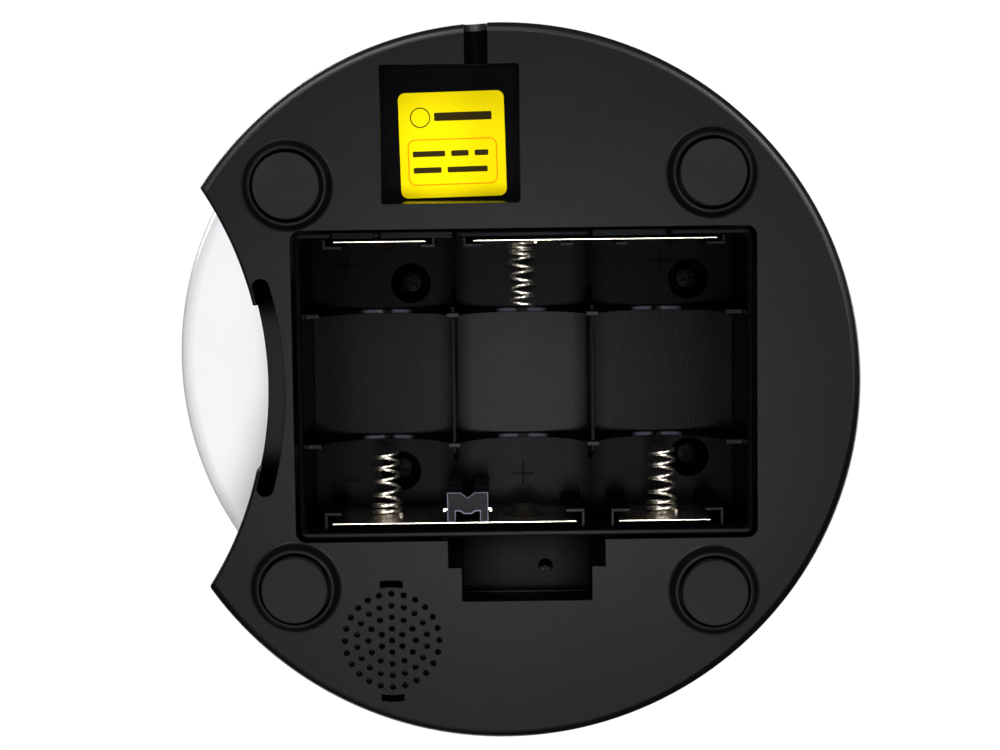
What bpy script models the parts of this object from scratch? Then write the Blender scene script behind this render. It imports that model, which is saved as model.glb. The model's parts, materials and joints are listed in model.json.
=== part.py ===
"""An automatic pet feeder: black base with a battery bay and a bowl recess, white body, hopper and lid.

Lengths are written in millimetres and turned into metres where a mesh is made. The feeder stands on
Z = 0, its bowl recess faces -Y, and its main axis is the Z axis.
"""

import math

import bmesh
import bpy
from mathutils import Matrix, Vector

MM = 0.001
GAP = 0.3

# Base
BASE_RADIUS = 92.8
BASE_FACE = 5.5
BASE_PLATE = 2.5
BASE_TOP = 19.5
WALL = 2.5
BITE_RADIUS = 95.0
BITE_CENTRE = 156.5
SLOT_LIP = 1.1
SLOT_WIDTH = 4.4
SLOT_HALF = 27.8
SLOT_OPEN_HALF = 21.4
SLOT_DEPTH = 12.0

# Feet
FEET = {
    "front_left": (-52.0, -54.2),
    "front_right": (52.0, -54.2),
    "rear_left": (-54.0, 54.3),
    "rear_right": (54.0, 54.3),
}
PAD_RADIUS = 8.45
RING_BORE = 9.3
RING_RADIUS = 11.4
RING_FACE = 2.3

# Battery bay: three round cells of 34.2 x 61.5 lie along X
CELL_PITCH = 36.85
BAY_MIDDLE = 5.5
CELL_ROWS = [BAY_MIDDLE + step * CELL_PITCH for step in (-1, 0, 1)]
CELL_AXIS = 24.6
BAY_HALF = 38.0
BAY_LOW = -51.5
BAY_HIGH = 63.4
BAY_FLOOR = 44.0
TUB_WALL = 1.6
TUB_FACE = 7.4
COVER_SEAT = 0.8
SADDLE_PLACES = (-17.3, 17.3)
SADDLE_RADIUS = 17.6
SADDLE_TOP = 21.0
PLATE_FACE = 37.0
PLATE_THICK = 0.5
SCREW_WELLS = {1: (24.8, -24.6), 2: (25.0, 51.4), 3: (-27.1, -28.1), 4: (-24.1, 51.4)}
WELL_RADIUS = 5.4
WELL_FLOOR = 54.0

# Power inlet well
INLET_LOW = (46.9, -30.3)
INLET_HIGH = (82.3, 5.3)
INLET_FLOOR = 27.5
INLET_WALL = 1.5
LABEL_LOW = (48.6, -27.0)
LABEL_HIGH = (76.8, 2.4)
JACK_PLACE = 55.6
JACK_HEIGHT = 14.5
CABLE_PLACE = -5.6
CABLE_RADIUS = 2.95

# Loudspeaker
SPEAKER = (-66.4, -29.5)
SPEAKER_RADIUS = 14.0
GRILLE_PITCH = 3.08
GRILLE_HOLE = 0.74
GRILLE_RINGS = 4
GRILLE_SLOT = (13.65, 15.35)
GRILLE_SLOT_HALF = 2.95

# Latch recess for the battery cover: a wide step, then a narrower and deeper pocket
LATCH_MIDDLE = 5.85
LATCH_WIDE_HALF = 20.4
LATCH_WIDE_EDGE = -47.5
LATCH_WIDE_DEPTH = 6.0
LATCH_NARROW_HALF = 16.9
LATCH_NARROW_EDGE = -56.4
LATCH_DEPTH = 13.0

# Body
LOWER_TOP = 92.0
UPPER_FACE = 92.3
UPPER_TOP = 215.0
HOPPER_FLOOR = 97.0
HOPPER_TOP = 282.0
CHAMBER_RADIUS = 58.0
HOPPER_WALL = 2.3
COLLAR_TOP = 292.0
COLLAR_BORE = 82.0
LID_FACE = 293.6
LID_RADIUS = 87.0
LID_TOP = 303.0
HINGE_PLACE = (91.5, 297.6)
PIN_RADIUS = 1.5

# Food outlet
OUTLET_HALF = 19.0
OUTLET_LOW = 51.0
OUTLET_HIGH = 81.5

# Drive
ROTOR_RADIUS = 53.5
SHAFT_RADIUS = 4.0
IDLER_PLACE = (0.0, 25.0)
MOTOR_PLACE = (0.0, 45.0)
DRIVE_MODULE = 0.8
OUTPUT_MODULE = 1.0

# Control panel
PANEL_FACE = -90.0
PANEL_HALF = 33.3
PANEL_LOW = 125.3
PANEL_HIGH = 190.7
BUTTON_HEIGHT = 141.0
BUTTON_PLACES = (-22.5, -7.5, 7.5, 22.5)
BUTTON_RADIUS = 5.0

MATERIALS = {
    "black_plastic": ((0.018, 0.018, 0.020), 0.5, 0.0),
    "black_gloss": ((0.010, 0.010, 0.012), 0.15, 0.0),
    "rubber": ((0.030, 0.030, 0.032), 0.8, 0.0),
    "nickel": ((0.62, 0.60, 0.57), 0.3, 1.0),
    "steel": ((0.45, 0.45, 0.46), 0.35, 1.0),
    "label": ((0.90, 0.75, 0.01), 0.5, 0.0),
    "white_plastic": ((0.85, 0.85, 0.87), 0.35, 0.0),
    "smoke_plastic": ((0.30, 0.31, 0.33), 0.15, 0.0),
    "gear_plastic": ((0.80, 0.79, 0.74), 0.45, 0.0),
    "board": ((0.02, 0.16, 0.06), 0.5, 0.0),
    "glass": ((0.02, 0.02, 0.03), 0.05, 0.0),
    "grey_rubber": ((0.35, 0.35, 0.36), 0.7, 0.0),
    "paper_cone": ((0.05, 0.05, 0.05), 0.9, 0.0),
}


def clear_scene():
    for item in list(bpy.data.objects):
        bpy.data.objects.remove(item, do_unlink=True)


def material(name):
    found = bpy.data.materials.get(name)
    if found:
        return found
    colour, roughness, metallic = MATERIALS[name]
    made = bpy.data.materials.new(name)
    made.use_nodes = True
    shader = made.node_tree.nodes["Principled BSDF"]
    shader.inputs["Base Color"].default_value = (*colour, 1.0)
    shader.inputs["Roughness"].default_value = roughness
    shader.inputs["Metallic"].default_value = metallic
    return made


def add_object(name, bm, finish=None, origin=(0, 0, 0)):
    """The object that holds a mesh given in world millimetres, with its origin at the given point."""
    bmesh.ops.recalc_face_normals(bm, faces=bm.faces)
    bm.transform(Matrix.Scale(MM, 4) @ Matrix.Translation(-Vector(origin)))
    mesh = bpy.data.meshes.new(name)
    bm.to_mesh(mesh)
    bm.free()
    mesh.shade_smooth()
    mesh.set_sharp_from_angle(angle=math.radians(30))
    made = bpy.data.objects.new(name, mesh)
    made.location = Vector(origin) * MM
    bpy.context.scene.collection.objects.link(made)
    if finish:
        mesh.materials.append(material(finish))
    return made


def extrude(outline, low, high):
    """A prism on a closed XY outline."""
    bm = bmesh.new()
    face = bm.faces.new([bm.verts.new((x, y, low)) for x, y in outline])
    raised = bmesh.ops.extrude_face_region(bm, geom=[face])["geom"]
    tops = [v for v in raised if isinstance(v, bmesh.types.BMVert)]
    bmesh.ops.translate(bm, verts=tops, vec=(0, 0, high - low))
    return bm


def box(low, high):
    x0, y0, z0 = low
    x1, y1, z1 = high
    return extrude([(x0, y0), (x1, y0), (x1, y1), (x0, y1)], z0, z1)


def circle(radius, centre=(0, 0), steps=32):
    turn = 2 * math.pi / steps
    return [
        (centre[0] + radius * math.cos(i * turn), centre[1] + radius * math.sin(i * turn))
        for i in range(steps)
    ]


def rod(radius, low, high, centre=(0, 0), steps=32):
    return extrude(circle(radius, centre, steps), low, high)


def rounded(low, high, radius, steps=4):
    """A rectangle with round corners."""
    corners = [
        (high[0] - radius, high[1] - radius, 0),
        (low[0] + radius, high[1] - radius, 90),
        (low[0] + radius, low[1] + radius, 180),
        (high[0] - radius, low[1] + radius, 270),
    ]
    return [
        (
            x + radius * math.cos(math.radians(start + 90 * i / steps)),
            y + radius * math.sin(math.radians(start + 90 * i / steps)),
        )
        for x, y, start in corners
        for i in range(steps + 1)
    ]


def turned(profile, steps=48, centre=(0, 0), closed=False):
    """A solid of revolution. The profile is (radius, height) and runs from axis to axis unless closed."""
    bm = bmesh.new()
    verts = [bm.verts.new((r, 0, z)) for r, z in profile]
    ends = verts + verts[:1] if closed else verts
    edges = [bm.edges.new(pair) for pair in zip(ends, ends[1:])]
    bmesh.ops.spin(
        bm, geom=verts + edges, cent=(0, 0, 0), axis=(0, 0, 1), angle=2 * math.pi, steps=steps, use_merge=True
    )
    bmesh.ops.remove_doubles(bm, verts=bm.verts, dist=1e-4)
    bmesh.ops.translate(bm, verts=bm.verts, vec=(*centre, 0))
    return bm


def along_x(bm, height, place=(0, 0)):
    """Lays a shape that stands on Z = 0 along +X instead, starting at x = height."""
    bm.transform(Matrix.Translation((height, *place)) @ Matrix.Rotation(math.pi / 2, 4, "Y"))
    return bm


def along_y(bm, start, place=(0, 0)):
    """Lays a shape that stands on Z = 0 along +Y instead, at x and z of place."""
    bm.transform(Matrix.Translation((place[0], start, place[1])) @ Matrix.Rotation(-math.pi / 2, 4, "X"))
    return bm


def side_prism(outline, half):
    """A prism on a closed YZ outline, from -half to half along X."""
    bm = extrude([(z, y) for y, z in outline], -half, half)
    bm.transform(Matrix(((0, 0, 1, 0), (0, 1, 0, 0), (1, 0, 0, 0), (0, 0, 0, 1))))
    return bm


def combine(target, bm, operation):
    """Joins a shape to the target, or cuts it away, by a Boolean modifier with a hidden helper."""
    helper = add_object(f"{target.name}_{operation.lower()}_{len(target.modifiers)}", bm)
    helper.hide_render = True
    helper.display_type = "WIRE"
    modifier = target.modifiers.new(operation.title(), "BOOLEAN")
    modifier.operation = operation
    modifier.solver = "EXACT"
    modifier.object = helper
    return modifier


def join(target, *shapes):
    for bm in shapes:
        combine(target, bm, "UNION")


def cut(target, *shapes):
    for bm in shapes:
        combine(target, bm, "DIFFERENCE")


def merged(shapes):
    """One mesh that holds several shapes which don't touch each other."""
    whole = bmesh.new()
    for bm in shapes:
        mesh = bpy.data.meshes.new("piece")
        bm.to_mesh(mesh)
        bm.free()
        whole.from_mesh(mesh)
        bpy.data.meshes.remove(mesh)
    return whole


def bitten_outline(radius, bite, outer_steps=48, bite_steps=14):
    """A circle about the main axis with a round bite out of its -Y side."""
    tip_y = (bite**2 - radius**2 - BITE_CENTRE**2) / (2 * BITE_CENTRE)
    tip = math.atan2(tip_y, math.sqrt(radius**2 - tip_y**2))
    sweep = math.pi - 2 * tip
    outer = [
        (radius * math.cos(tip + sweep * i / outer_steps), radius * math.sin(tip + sweep * i / outer_steps))
        for i in range(outer_steps + 1)
    ]
    half = math.asin(outer[0][0] / bite)
    inner = [
        (
            bite * math.sin(-half + 2 * half * i / bite_steps),
            bite * math.cos(-half + 2 * half * i / bite_steps) - BITE_CENTRE,
        )
        for i in range(1, bite_steps)
    ]
    return outer + inner


def arc_strip(inner, outer, half, centre=(0, -BITE_CENTRE), facing=90, steps=12):
    """A strip between two radii about a centre, with half its width on each side of the way it faces."""
    points = []
    for radius, order in ((inner, range(steps + 1)), (outer, range(steps, -1, -1))):
        reach = math.asin(half / radius)
        for i in order:
            turn = math.radians(facing) + reach - 2 * reach * i / steps
            points.append((centre[0] + radius * math.cos(turn), centre[1] + radius * math.sin(turn)))
    return points


def base_cover():
    cover = add_object(
        "base_cover", extrude(bitten_outline(BASE_RADIUS, BITE_RADIUS), BASE_FACE, BASE_TOP), "black_plastic"
    )
    inside = bitten_outline(BASE_RADIUS - WALL, BITE_RADIUS + WALL)
    cut(cover, extrude(inside, BASE_FACE + BASE_PLATE, BASE_TOP + 1))
    slot_inner = BITE_RADIUS + SLOT_LIP
    slot_outer = slot_inner + SLOT_WIDTH
    slot_floor = BASE_FACE + SLOT_DEPTH
    join(
        cover,
        extrude(arc_strip(BITE_RADIUS + 1, slot_outer + 1.9, SLOT_HALF + 2), BASE_FACE + 1, BASE_TOP),
        box(
            (INLET_LOW[0] - INLET_WALL, INLET_LOW[1] - INLET_WALL, BASE_FACE + 1),
            (INLET_HIGH[0] + INLET_WALL, INLET_HIGH[1] + INLET_WALL, INLET_FLOOR + INLET_WALL),
        ),
        box((INLET_HIGH[0], CABLE_PLACE - 4.6, BASE_FACE + 1), (BASE_RADIUS - 1.5, CABLE_PLACE + 4.6, 13.2)),
        box(
            (LATCH_NARROW_EDGE - 1.8, LATCH_MIDDLE - LATCH_WIDE_HALF - 1.6, BASE_FACE + 1),
            (-BAY_HALF - TUB_WALL - 0.4, LATCH_MIDDLE + LATCH_WIDE_HALF + 1.6, BASE_FACE + LATCH_DEPTH + 1.5),
        ),
        merged([rod(RING_RADIUS, RING_FACE, BASE_FACE + 1, place, 28) for place in FEET.values()]),
    )
    cut(
        cover,
        merged([rod(RING_BORE, RING_FACE - 1, BASE_FACE, place, 28) for place in FEET.values()]),
        extrude(arc_strip(slot_inner, slot_outer, SLOT_HALF), BASE_FACE - 1, slot_floor),
        extrude(arc_strip(BITE_RADIUS - 3, slot_inner + 1, SLOT_OPEN_HALF), BASE_FACE - 1, slot_floor),
        bay_hole(),
        box((*INLET_LOW, BASE_FACE - 1), (*INLET_HIGH, INLET_FLOOR)),
        jack_window(),
        cable_groove(),
        latch_pocket(),
        grille_holes(),
    )


def bay_hole():
    edge = BAY_HALF + TUB_WALL + COVER_SEAT
    low = (-edge, BAY_LOW - TUB_WALL - COVER_SEAT)
    high = (edge, BAY_HIGH + TUB_WALL + COVER_SEAT)
    return extrude(rounded(low, high, 2.6), BASE_FACE - 1, BASE_FACE + BASE_PLATE + 0.5)


def jack_window():
    return box(
        (JACK_PLACE - 4.0, INLET_HIGH[1] - 1, JACK_HEIGHT - 4.5),
        (JACK_PLACE + 4.0, INLET_HIGH[1] + INLET_WALL + 1, JACK_HEIGHT + 4.5),
    )


def cable_groove():
    """A groove with a round bottom from the inlet well to the edge of the base."""
    steps = 10
    turns = [math.pi * i / steps for i in range(steps + 1)]
    top = [
        (CABLE_PLACE + CABLE_RADIUS * math.cos(t), BASE_FACE + 3 + CABLE_RADIUS * math.sin(t)) for t in turns
    ]
    outline = [(CABLE_PLACE + CABLE_RADIUS, BASE_FACE - 1), *top, (CABLE_PLACE - CABLE_RADIUS, BASE_FACE - 1)]
    bm = side_prism(outline, 8)
    bmesh.ops.translate(bm, verts=bm.verts, vec=(INLET_HIGH[0] + 7, 0, 0))
    return bm


def latch_pocket():
    """The stepped recess next to the bay that the battery cover's catch snaps into."""
    edge = -BAY_HALF - TUB_WALL

    def step(outer, inner, half, depth):
        low = (outer, LATCH_MIDDLE - half, BASE_FACE - 1)
        return box(low, (inner, LATCH_MIDDLE + half, BASE_FACE + depth))

    wide = step(LATCH_WIDE_EDGE, edge - 2, LATCH_WIDE_HALF, LATCH_WIDE_DEPTH)
    whole = add_object("latch_pocket_shape", wide)
    join(
        whole,
        step(LATCH_NARROW_EDGE, edge - 2, LATCH_NARROW_HALF, LATCH_DEPTH),
        step(LATCH_WIDE_EDGE + 2.5, edge + 1, LATCH_WIDE_HALF, 2),
    )
    graph = bpy.context.evaluated_depsgraph_get()
    bm = bmesh.new()
    bm.from_object(whole, graph)
    bm.transform(Matrix.Scale(1 / MM, 4))
    for helper in [modifier.object for modifier in whole.modifiers]:
        bpy.data.objects.remove(helper)
    bpy.data.objects.remove(whole)
    return bm


def grille_holes():
    """One hole in the middle, then rings of 6, 12, 18 and 24 holes, and a curved slot at each side."""
    low, high = BASE_FACE - 1, BASE_FACE + BASE_PLATE + 1
    holes = [rod(GRILLE_HOLE, low, high, SPEAKER, 6)]
    for ring in range(1, GRILLE_RINGS + 1):
        for i in range(6 * ring):
            turn = math.radians(60 * i / ring)
            place = (
                SPEAKER[0] + ring * GRILLE_PITCH * math.cos(turn),
                SPEAKER[1] + ring * GRILLE_PITCH * math.sin(turn),
            )
            holes.append(rod(GRILLE_HOLE, low, high, place, 6))
    for facing in (0, 180):
        holes.append(extrude(arc_strip(*GRILLE_SLOT, GRILLE_SLOT_HALF, SPEAKER, facing, 4), low, high))
    return merged(holes)


def foot_pads():
    bevel = 0.7
    for name, place in FEET.items():
        profile = [
            (0, 0),
            (PAD_RADIUS - bevel, 0),
            (PAD_RADIUS, bevel),
            (PAD_RADIUS, BASE_FACE - GAP),
            (0, BASE_FACE - GAP),
        ]
        add_object(f"foot_pad_{name}", turned(profile, 24, place), "rubber", (*place, 0))


def saddle_outline():
    """The rib that the cells lie on: an arc under each cell and an upright end between neighbours."""
    half = SADDLE_RADIUS - 0.75
    drop = math.sqrt(SADDLE_RADIUS**2 - half**2)
    steps = 8
    start = math.atan2(drop, half)
    points = []
    for row in CELL_ROWS:
        points.append((row - half, SADDLE_TOP))
        for i in range(steps + 1):
            turn = math.pi - start - (math.pi - 2 * start) * i / steps
            points.append((row + SADDLE_RADIUS * math.cos(turn), CELL_AXIS + SADDLE_RADIUS * math.sin(turn)))
        points.append((row + half, SADDLE_TOP))
    ends = [(BAY_HIGH + 0.5, SADDLE_TOP), (BAY_HIGH + 0.5, BAY_FLOOR + 1), (BAY_LOW - 0.5, BAY_FLOOR + 1)]
    return [*points, *ends, (BAY_LOW - 0.5, SADDLE_TOP)]


def battery_box():
    outer = BAY_HALF + TUB_WALL
    wells = SCREW_WELLS.values()
    outline = rounded((-outer, BAY_LOW - TUB_WALL), (outer, BAY_HIGH + TUB_WALL), 2.2)
    tub = add_object("battery_box", extrude(outline, TUB_FACE, BAY_FLOOR + 2), "black_plastic")
    join(tub, merged([rod(WELL_RADIUS + 1.8, BAY_FLOOR + 1, WELL_FLOOR + 2, place, 24) for place in wells]))
    cut(tub, extrude(rounded((-BAY_HALF, BAY_LOW), (BAY_HALF, BAY_HIGH), 1.4), TUB_FACE - 1, BAY_FLOOR))
    ribs = []
    for place in SADDLE_PLACES:
        rib = side_prism(saddle_outline(), 1.0)
        bmesh.ops.translate(rib, verts=rib.verts, vec=(place, 0, 0))
        ribs.append(rib)
    join(tub, merged(ribs))
    dividers = [(CELL_ROWS[0] + CELL_ROWS[1]) / 2, (CELL_ROWS[1] + CELL_ROWS[2]) / 2]
    join(tub, *[box((-22.8, y - 0.6, SADDLE_TOP + 1), (23.6, y + 0.6, BAY_FLOOR + 1)) for y in dividers])
    cut(
        tub,
        merged([rod(WELL_RADIUS, BAY_FLOOR - 6, WELL_FLOOR, place, 24) for place in wells]),
        merged([rod(2.0, WELL_FLOOR - 1, WELL_FLOOR + 3, place, 16) for place in wells]),
    )


def contact_plate(name, low, high, side, bumps):
    """A sheet-metal plate on one end wall of the bay, with a raised dome for each positive cell end."""
    inner = side * PLATE_FACE
    outer = side * (PLATE_FACE + PLATE_THICK)
    plate = add_object(name, box((min(inner, outer), low, 12), (max(inner, outer), high, 37.5)), "nickel")
    for row in bumps:
        dome = turned([(0, 0), (6.5, 0), (6.0, 0.6), (3.4, 2.2), (2.6, 3.0), (0, 3.2)], 20)
        if side < 0:
            along_x(dome, inner - 0.2, (row, CELL_AXIS))
        else:
            dome.transform(Matrix.Scale(-1, 4, (0, 0, 1)))
            along_x(dome, inner + 0.2, (row, CELL_AXIS))
        join(plate, dome)


def contact_plates():
    first, middle, last = CELL_ROWS
    contact_plate("contact_plate_positive", first - 12, first + 12, 1, [first])
    contact_plate("contact_plate_link_right", middle - 12.4, last + 14, 1, [last])
    contact_plate("contact_plate_link_left", first - 13.5, middle + 13.5, -1, [middle])
    contact_plate("contact_plate_negative", last - 12, last + 12, -1, [])


def contact_spring(name, row, side):
    """A slightly conical coil: closed turns at the plate, then open turns towards the cell."""
    closed_turns = 2
    open_turns = 4
    wire = 0.4
    steps = 9
    count = (closed_turns + open_turns) * steps
    curve = bpy.data.curves.new(name, "CURVE")
    curve.dimensions = "3D"
    curve.bevel_depth = wire * MM
    curve.bevel_resolution = 0
    curve.use_fill_caps = True
    spline = curve.splines.new("POLY")
    spline.points.add(count)
    reach = wire + GAP
    for i in range(count + 1):
        turn = i / steps
        if i:
            reach += 2.1 * wire / steps if turn <= closed_turns else 3.7 / steps
        radius = 3.7 - 0.6 * turn / (closed_turns + open_turns)
        angle = 2 * math.pi * turn
        point = (-side * reach, radius * math.cos(angle), radius * math.sin(angle))
        spline.points[i].co = (*[v * MM for v in point], 1)
    made = bpy.data.objects.new(name, curve)
    made.location = (side * PLATE_FACE * MM, row * MM, CELL_AXIS * MM)
    bpy.context.scene.collection.objects.link(made)
    curve.materials.append(material("nickel"))


def contact_springs():
    first, middle, last = CELL_ROWS
    contact_spring("contact_spring_1", first, -1)
    contact_spring("contact_spring_2", middle, 1)
    contact_spring("contact_spring_3", last, -1)


def base_screws():
    for number, place in SCREW_WELLS.items():
        head = [(0, 50.6), (2.6, 50.6), (3.4, 51.4), (3.4, WELL_FLOOR - GAP)]
        shank = [(1.5, WELL_FLOOR - GAP), (1.5, 67.5), (0, 69.0)]
        shape = turned(head + shank, 14, place)
        screw = add_object(f"base_screw_{number}", shape, "steel", (*place, WELL_FLOOR))
        cut(screw, box((place[0] - 2, place[1] - 0.4, 50), (place[0] + 2, place[1] + 0.4, 51.8)))


def supply_label():
    outline = rounded(LABEL_LOW, LABEL_HIGH, 1.2, 3)
    add_object("supply_label", extrude(outline, INLET_FLOOR - GAP - 0.25, INLET_FLOOR - GAP), "label")


def dc_jack():
    face = INLET_HIGH[1] + INLET_WALL + GAP
    low = (JACK_PLACE - 4.5, face, JACK_HEIGHT - 5)
    jack = add_object("dc_jack", box(low, (JACK_PLACE + 4.5, face + 13, JACK_HEIGHT + 6)), "black_gloss")
    join(jack, along_y(rod(3.7, 0, 2.5, steps=24), face - 1.6, (JACK_PLACE, JACK_HEIGHT)))
    cut(jack, along_y(rod(2.8, 0, 11, steps=24), face - 2, (JACK_PLACE, JACK_HEIGHT)))
    join(jack, along_y(rod(0.9, 0, 9, steps=12), face + 1, (JACK_PLACE, JACK_HEIGHT)))


def speaker():
    face = BASE_FACE + BASE_PLATE + GAP
    hollow = [(0, face + 6.5), (7, face + 5.5), (12.4, face + 1.2), (12.4, face)]
    rim = [(SPEAKER_RADIUS, face), (SPEAKER_RADIUS, face + 3)]
    magnet = [(8, face + 7.5), (8, face + 11), (0, face + 11)]
    add_object("speaker_basket", turned(hollow + rim + magnet, 24, SPEAKER), "steel")
    front = [(0, face + 2.2), (3, face + 3.0), (11.9, face + 0.2)]
    back = [(11.9, face + 0.8), (3, face + 3.9), (0, face + 3.4)]
    add_object("speaker_cone", turned(front + back, 20, SPEAKER), "paper_cone")


def lower_housing():
    low = BASE_TOP + GAP
    housing = add_object(
        "lower_housing", extrude(bitten_outline(BASE_RADIUS, BITE_RADIUS), low, LOWER_TOP), "black_plastic"
    )
    deck = LOWER_TOP - WALL
    cut(housing, extrude(bitten_outline(BASE_RADIUS - WALL, BITE_RADIUS + WALL), low - 1, deck))
    join(housing, merged([rod(3.5, WELL_FLOOR + 2 + GAP, deck + 1, p, 16) for p in SCREW_WELLS.values()]))
    cut(
        housing,
        merged([rod(1.8, WELL_FLOOR, 72, p, 16) for p in SCREW_WELLS.values()]),
        box((-OUTLET_HALF - 0.4, -66, OUTLET_LOW), (OUTLET_HALF + 0.4, -58.2, OUTLET_HIGH)),
        chute_hole(deck),
        rod(5, deck - 1, LOWER_TOP + 1, steps=24),
        box((-22, 60, deck - 1), (22, 66, LOWER_TOP + 1)),
    )


def chute_hole(low):
    return box((-OUTLET_HALF - 2.1, -54.4, low - 1), (OUTLET_HALF + 2.1, -24.8, UPPER_FACE + WALL + 1))


def food_chute():
    outer = [(-58.4, 49), (-58.4, 83), (-53.6, 90), (-53.6, 96.4), (-25.6, 96.4), (-25.6, 78)]
    inner = [(-62, 48.1), (-62, 81.4), (-57.6, 81.4), (-52.0, 89.4), (-52.0, 98), (-27.2, 98), (-27.2, 78.7)]
    chute = add_object("food_chute", side_prism(outer, OUTLET_HALF + 1.5), "black_plastic")
    cut(chute, side_prism(inner, OUTLET_HALF - 0.1))


def main_circuit_board():
    """The main board stands behind the battery box, with its connectors and its capacitor."""
    board = add_object("main_circuit_board", box((-34, 70.5, 24), (34, 72.1, 82)), "board")
    join(
        board,
        box((-24, 72, 40), (-10, 74, 54)),
        box((6, 72, 34), (18, 77, 40)),
        box((-6, 72, 62), (8, 78, 70)),
        along_y(rod(4, 0, 11, steps=16), 72, (24, 64)),
    )


def upper_housing():
    outer = [(0, 92.3), (92.6, 92.3), (94.6, 93.6), (95.9, 98), (97.0, 105), (97.3, 113), (96.6, UPPER_TOP)]
    inner = [(94.1, UPPER_TOP), (94.8, 113), (94.3, 104), (92.6, 97.0), (90.5, 94.8), (0, 94.8)]
    housing = add_object("upper_housing", turned(outer + inner, 48), "white_plastic")
    cut(
        housing,
        chute_hole(UPPER_FACE - 2),
        rod(5, UPPER_FACE - 1, UPPER_FACE + WALL + 1, steps=24),
        box((-22, 60, UPPER_FACE - 1), (22, 66, UPPER_FACE + WALL + 1)),
        box((-PANEL_HALF - GAP, -99, PANEL_LOW - GAP), (PANEL_HALF + GAP, -85, PANEL_HIGH + GAP)),
    )


def gear_outline(teeth, size, centre=(0, 0), turn=0.0):
    """Straight-sided teeth about the pitch circle, with a little backlash."""
    pitch = teeth * size / 2
    root = pitch - 1.2 * size
    tip = pitch + 0.9 * size
    step = math.pi / teeth
    points = []
    for tooth in range(teeth):
        for radius, angle in ((root, -0.34), (root, 0.34), (tip, 0.75), (tip, 1.25)):
            at = turn + (2 * tooth + angle) * step
            points.append((centre[0] + radius * math.cos(at), centre[1] + radius * math.sin(at)))
    return points


def drive_train():
    """The motor pinion turns the idler, and the idler's small gear turns the output gear on the shaft."""
    idler_to_motor = math.atan2(MOTOR_PLACE[1] - IDLER_PLACE[1], MOTOR_PLACE[0] - IDLER_PLACE[0])
    pinion = add_object(
        "motor_pinion",
        extrude(gear_outline(10, DRIVE_MODULE, MOTOR_PLACE, idler_to_motor + math.pi), 72.0, 79.0),
        "gear_plastic",
        (*MOTOR_PLACE, 75),
    )
    cut(pinion, rod(1.1, 71.5, 78, MOTOR_PLACE, 16))
    wheel_turn = idler_to_motor + math.pi / 40
    idler = add_object(
        "idler_gear",
        extrude(gear_outline(40, DRIVE_MODULE, IDLER_PLACE, wheel_turn), 73.0, 78.0),
        "gear_plastic",
        (*IDLER_PLACE, 78),
    )
    small_turn = -math.pi / 2
    join(idler, extrude(gear_outline(10, OUTPUT_MODULE, IDLER_PLACE, small_turn), 77.5, 85.5))
    cut(idler, rod(1.58, 70, 90, IDLER_PLACE, 24))
    output = add_object(
        "output_gear",
        extrude(gear_outline(40, OUTPUT_MODULE, (0, 0), math.pi / 2 + math.pi / 40), 80.0, 85.0),
        "gear_plastic",
        (0, 0, 80),
    )
    cut(output, rod(SHAFT_RADIUS + GAP, 79, 90, steps=32))
    add_object("output_shaft", rod(SHAFT_RADIUS, 73, 125, steps=32), "steel", (0, 0, 80))
    axle = rod(PIN_RADIUS, 70.9, 86.2, IDLER_PLACE, 24)
    add_object("idler_axle", axle, "steel")


def gearbox_outline(grow=0.0):
    front = 22.6 + grow
    turns = [math.pi * (1 + i / 20) for i in range(21)]
    arc = [(front * math.cos(t), front * math.sin(t)) for t in turns]
    back = [(front, 40), (16 + grow, 46), (16 + grow, 52 + grow)]
    return [*arc, *back, *[(-x, y) for x, y in reversed(back)]]


def gearbox():
    housing = add_object("gearbox_housing", extrude(gearbox_outline(), 70.5, 88.9), "black_plastic")
    cut(
        housing,
        extrude(gearbox_outline(-1.5), 69, 86.6),
        rod(SHAFT_RADIUS + 0.08, 85, 90, steps=32),
    )
    cover = add_object("gearbox_cover", extrude(gearbox_outline(), 68.4, 70.2), "black_plastic")
    cut(cover, rod(3.0, 67, 72, MOTOR_PLACE, 20))


def motor():
    can = [(0, 47.5), (3, 47.5), (3, 48.6), (11.4, 48.6), (12, 49.4), (12, 68.0), (2.6, 68.0), (2.6, 69.2)]
    shaft = [(1.0, 69.2), (1.0, 77.5), (0, 77.5)]
    add_object("gear_motor", turned(can + shaft, 24, MOTOR_PLACE), "steel")


def dispensing_rotor():
    low = HOPPER_FLOOR + HOPPER_WALL + GAP + 0.3
    high = 129.0
    rotor = add_object("dispensing_rotor", rod(11, low, high + 1, steps=36), "grey_rubber", (0, 0, low))
    for i in range(3):
        paddle = box((-ROTOR_RADIUS, -1.2, low), (ROTOR_RADIUS, 1.2, high))
        paddle.transform(Matrix.Rotation(math.radians(60 * i), 4, "Z"))
        join(rotor, paddle)
    cut(rotor, rod(SHAFT_RADIUS + GAP, low - 1, 126, steps=32))


def portion_baffle():
    """The plate over the drop hole, so that only the food between two paddles can fall."""
    radius = CHAMBER_RADIUS - HOPPER_WALL - 0.6
    edge = 6.0
    reach = math.pi / 2 - math.asin(edge / radius)
    turns = [-math.pi / 2 - reach + 2 * reach * i / 24 for i in range(25)]
    outline = [(radius * math.cos(t), radius * math.sin(t)) for t in turns]
    add_object("portion_baffle", extrude(outline, 131.0, 133.2), "smoke_plastic")


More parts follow.
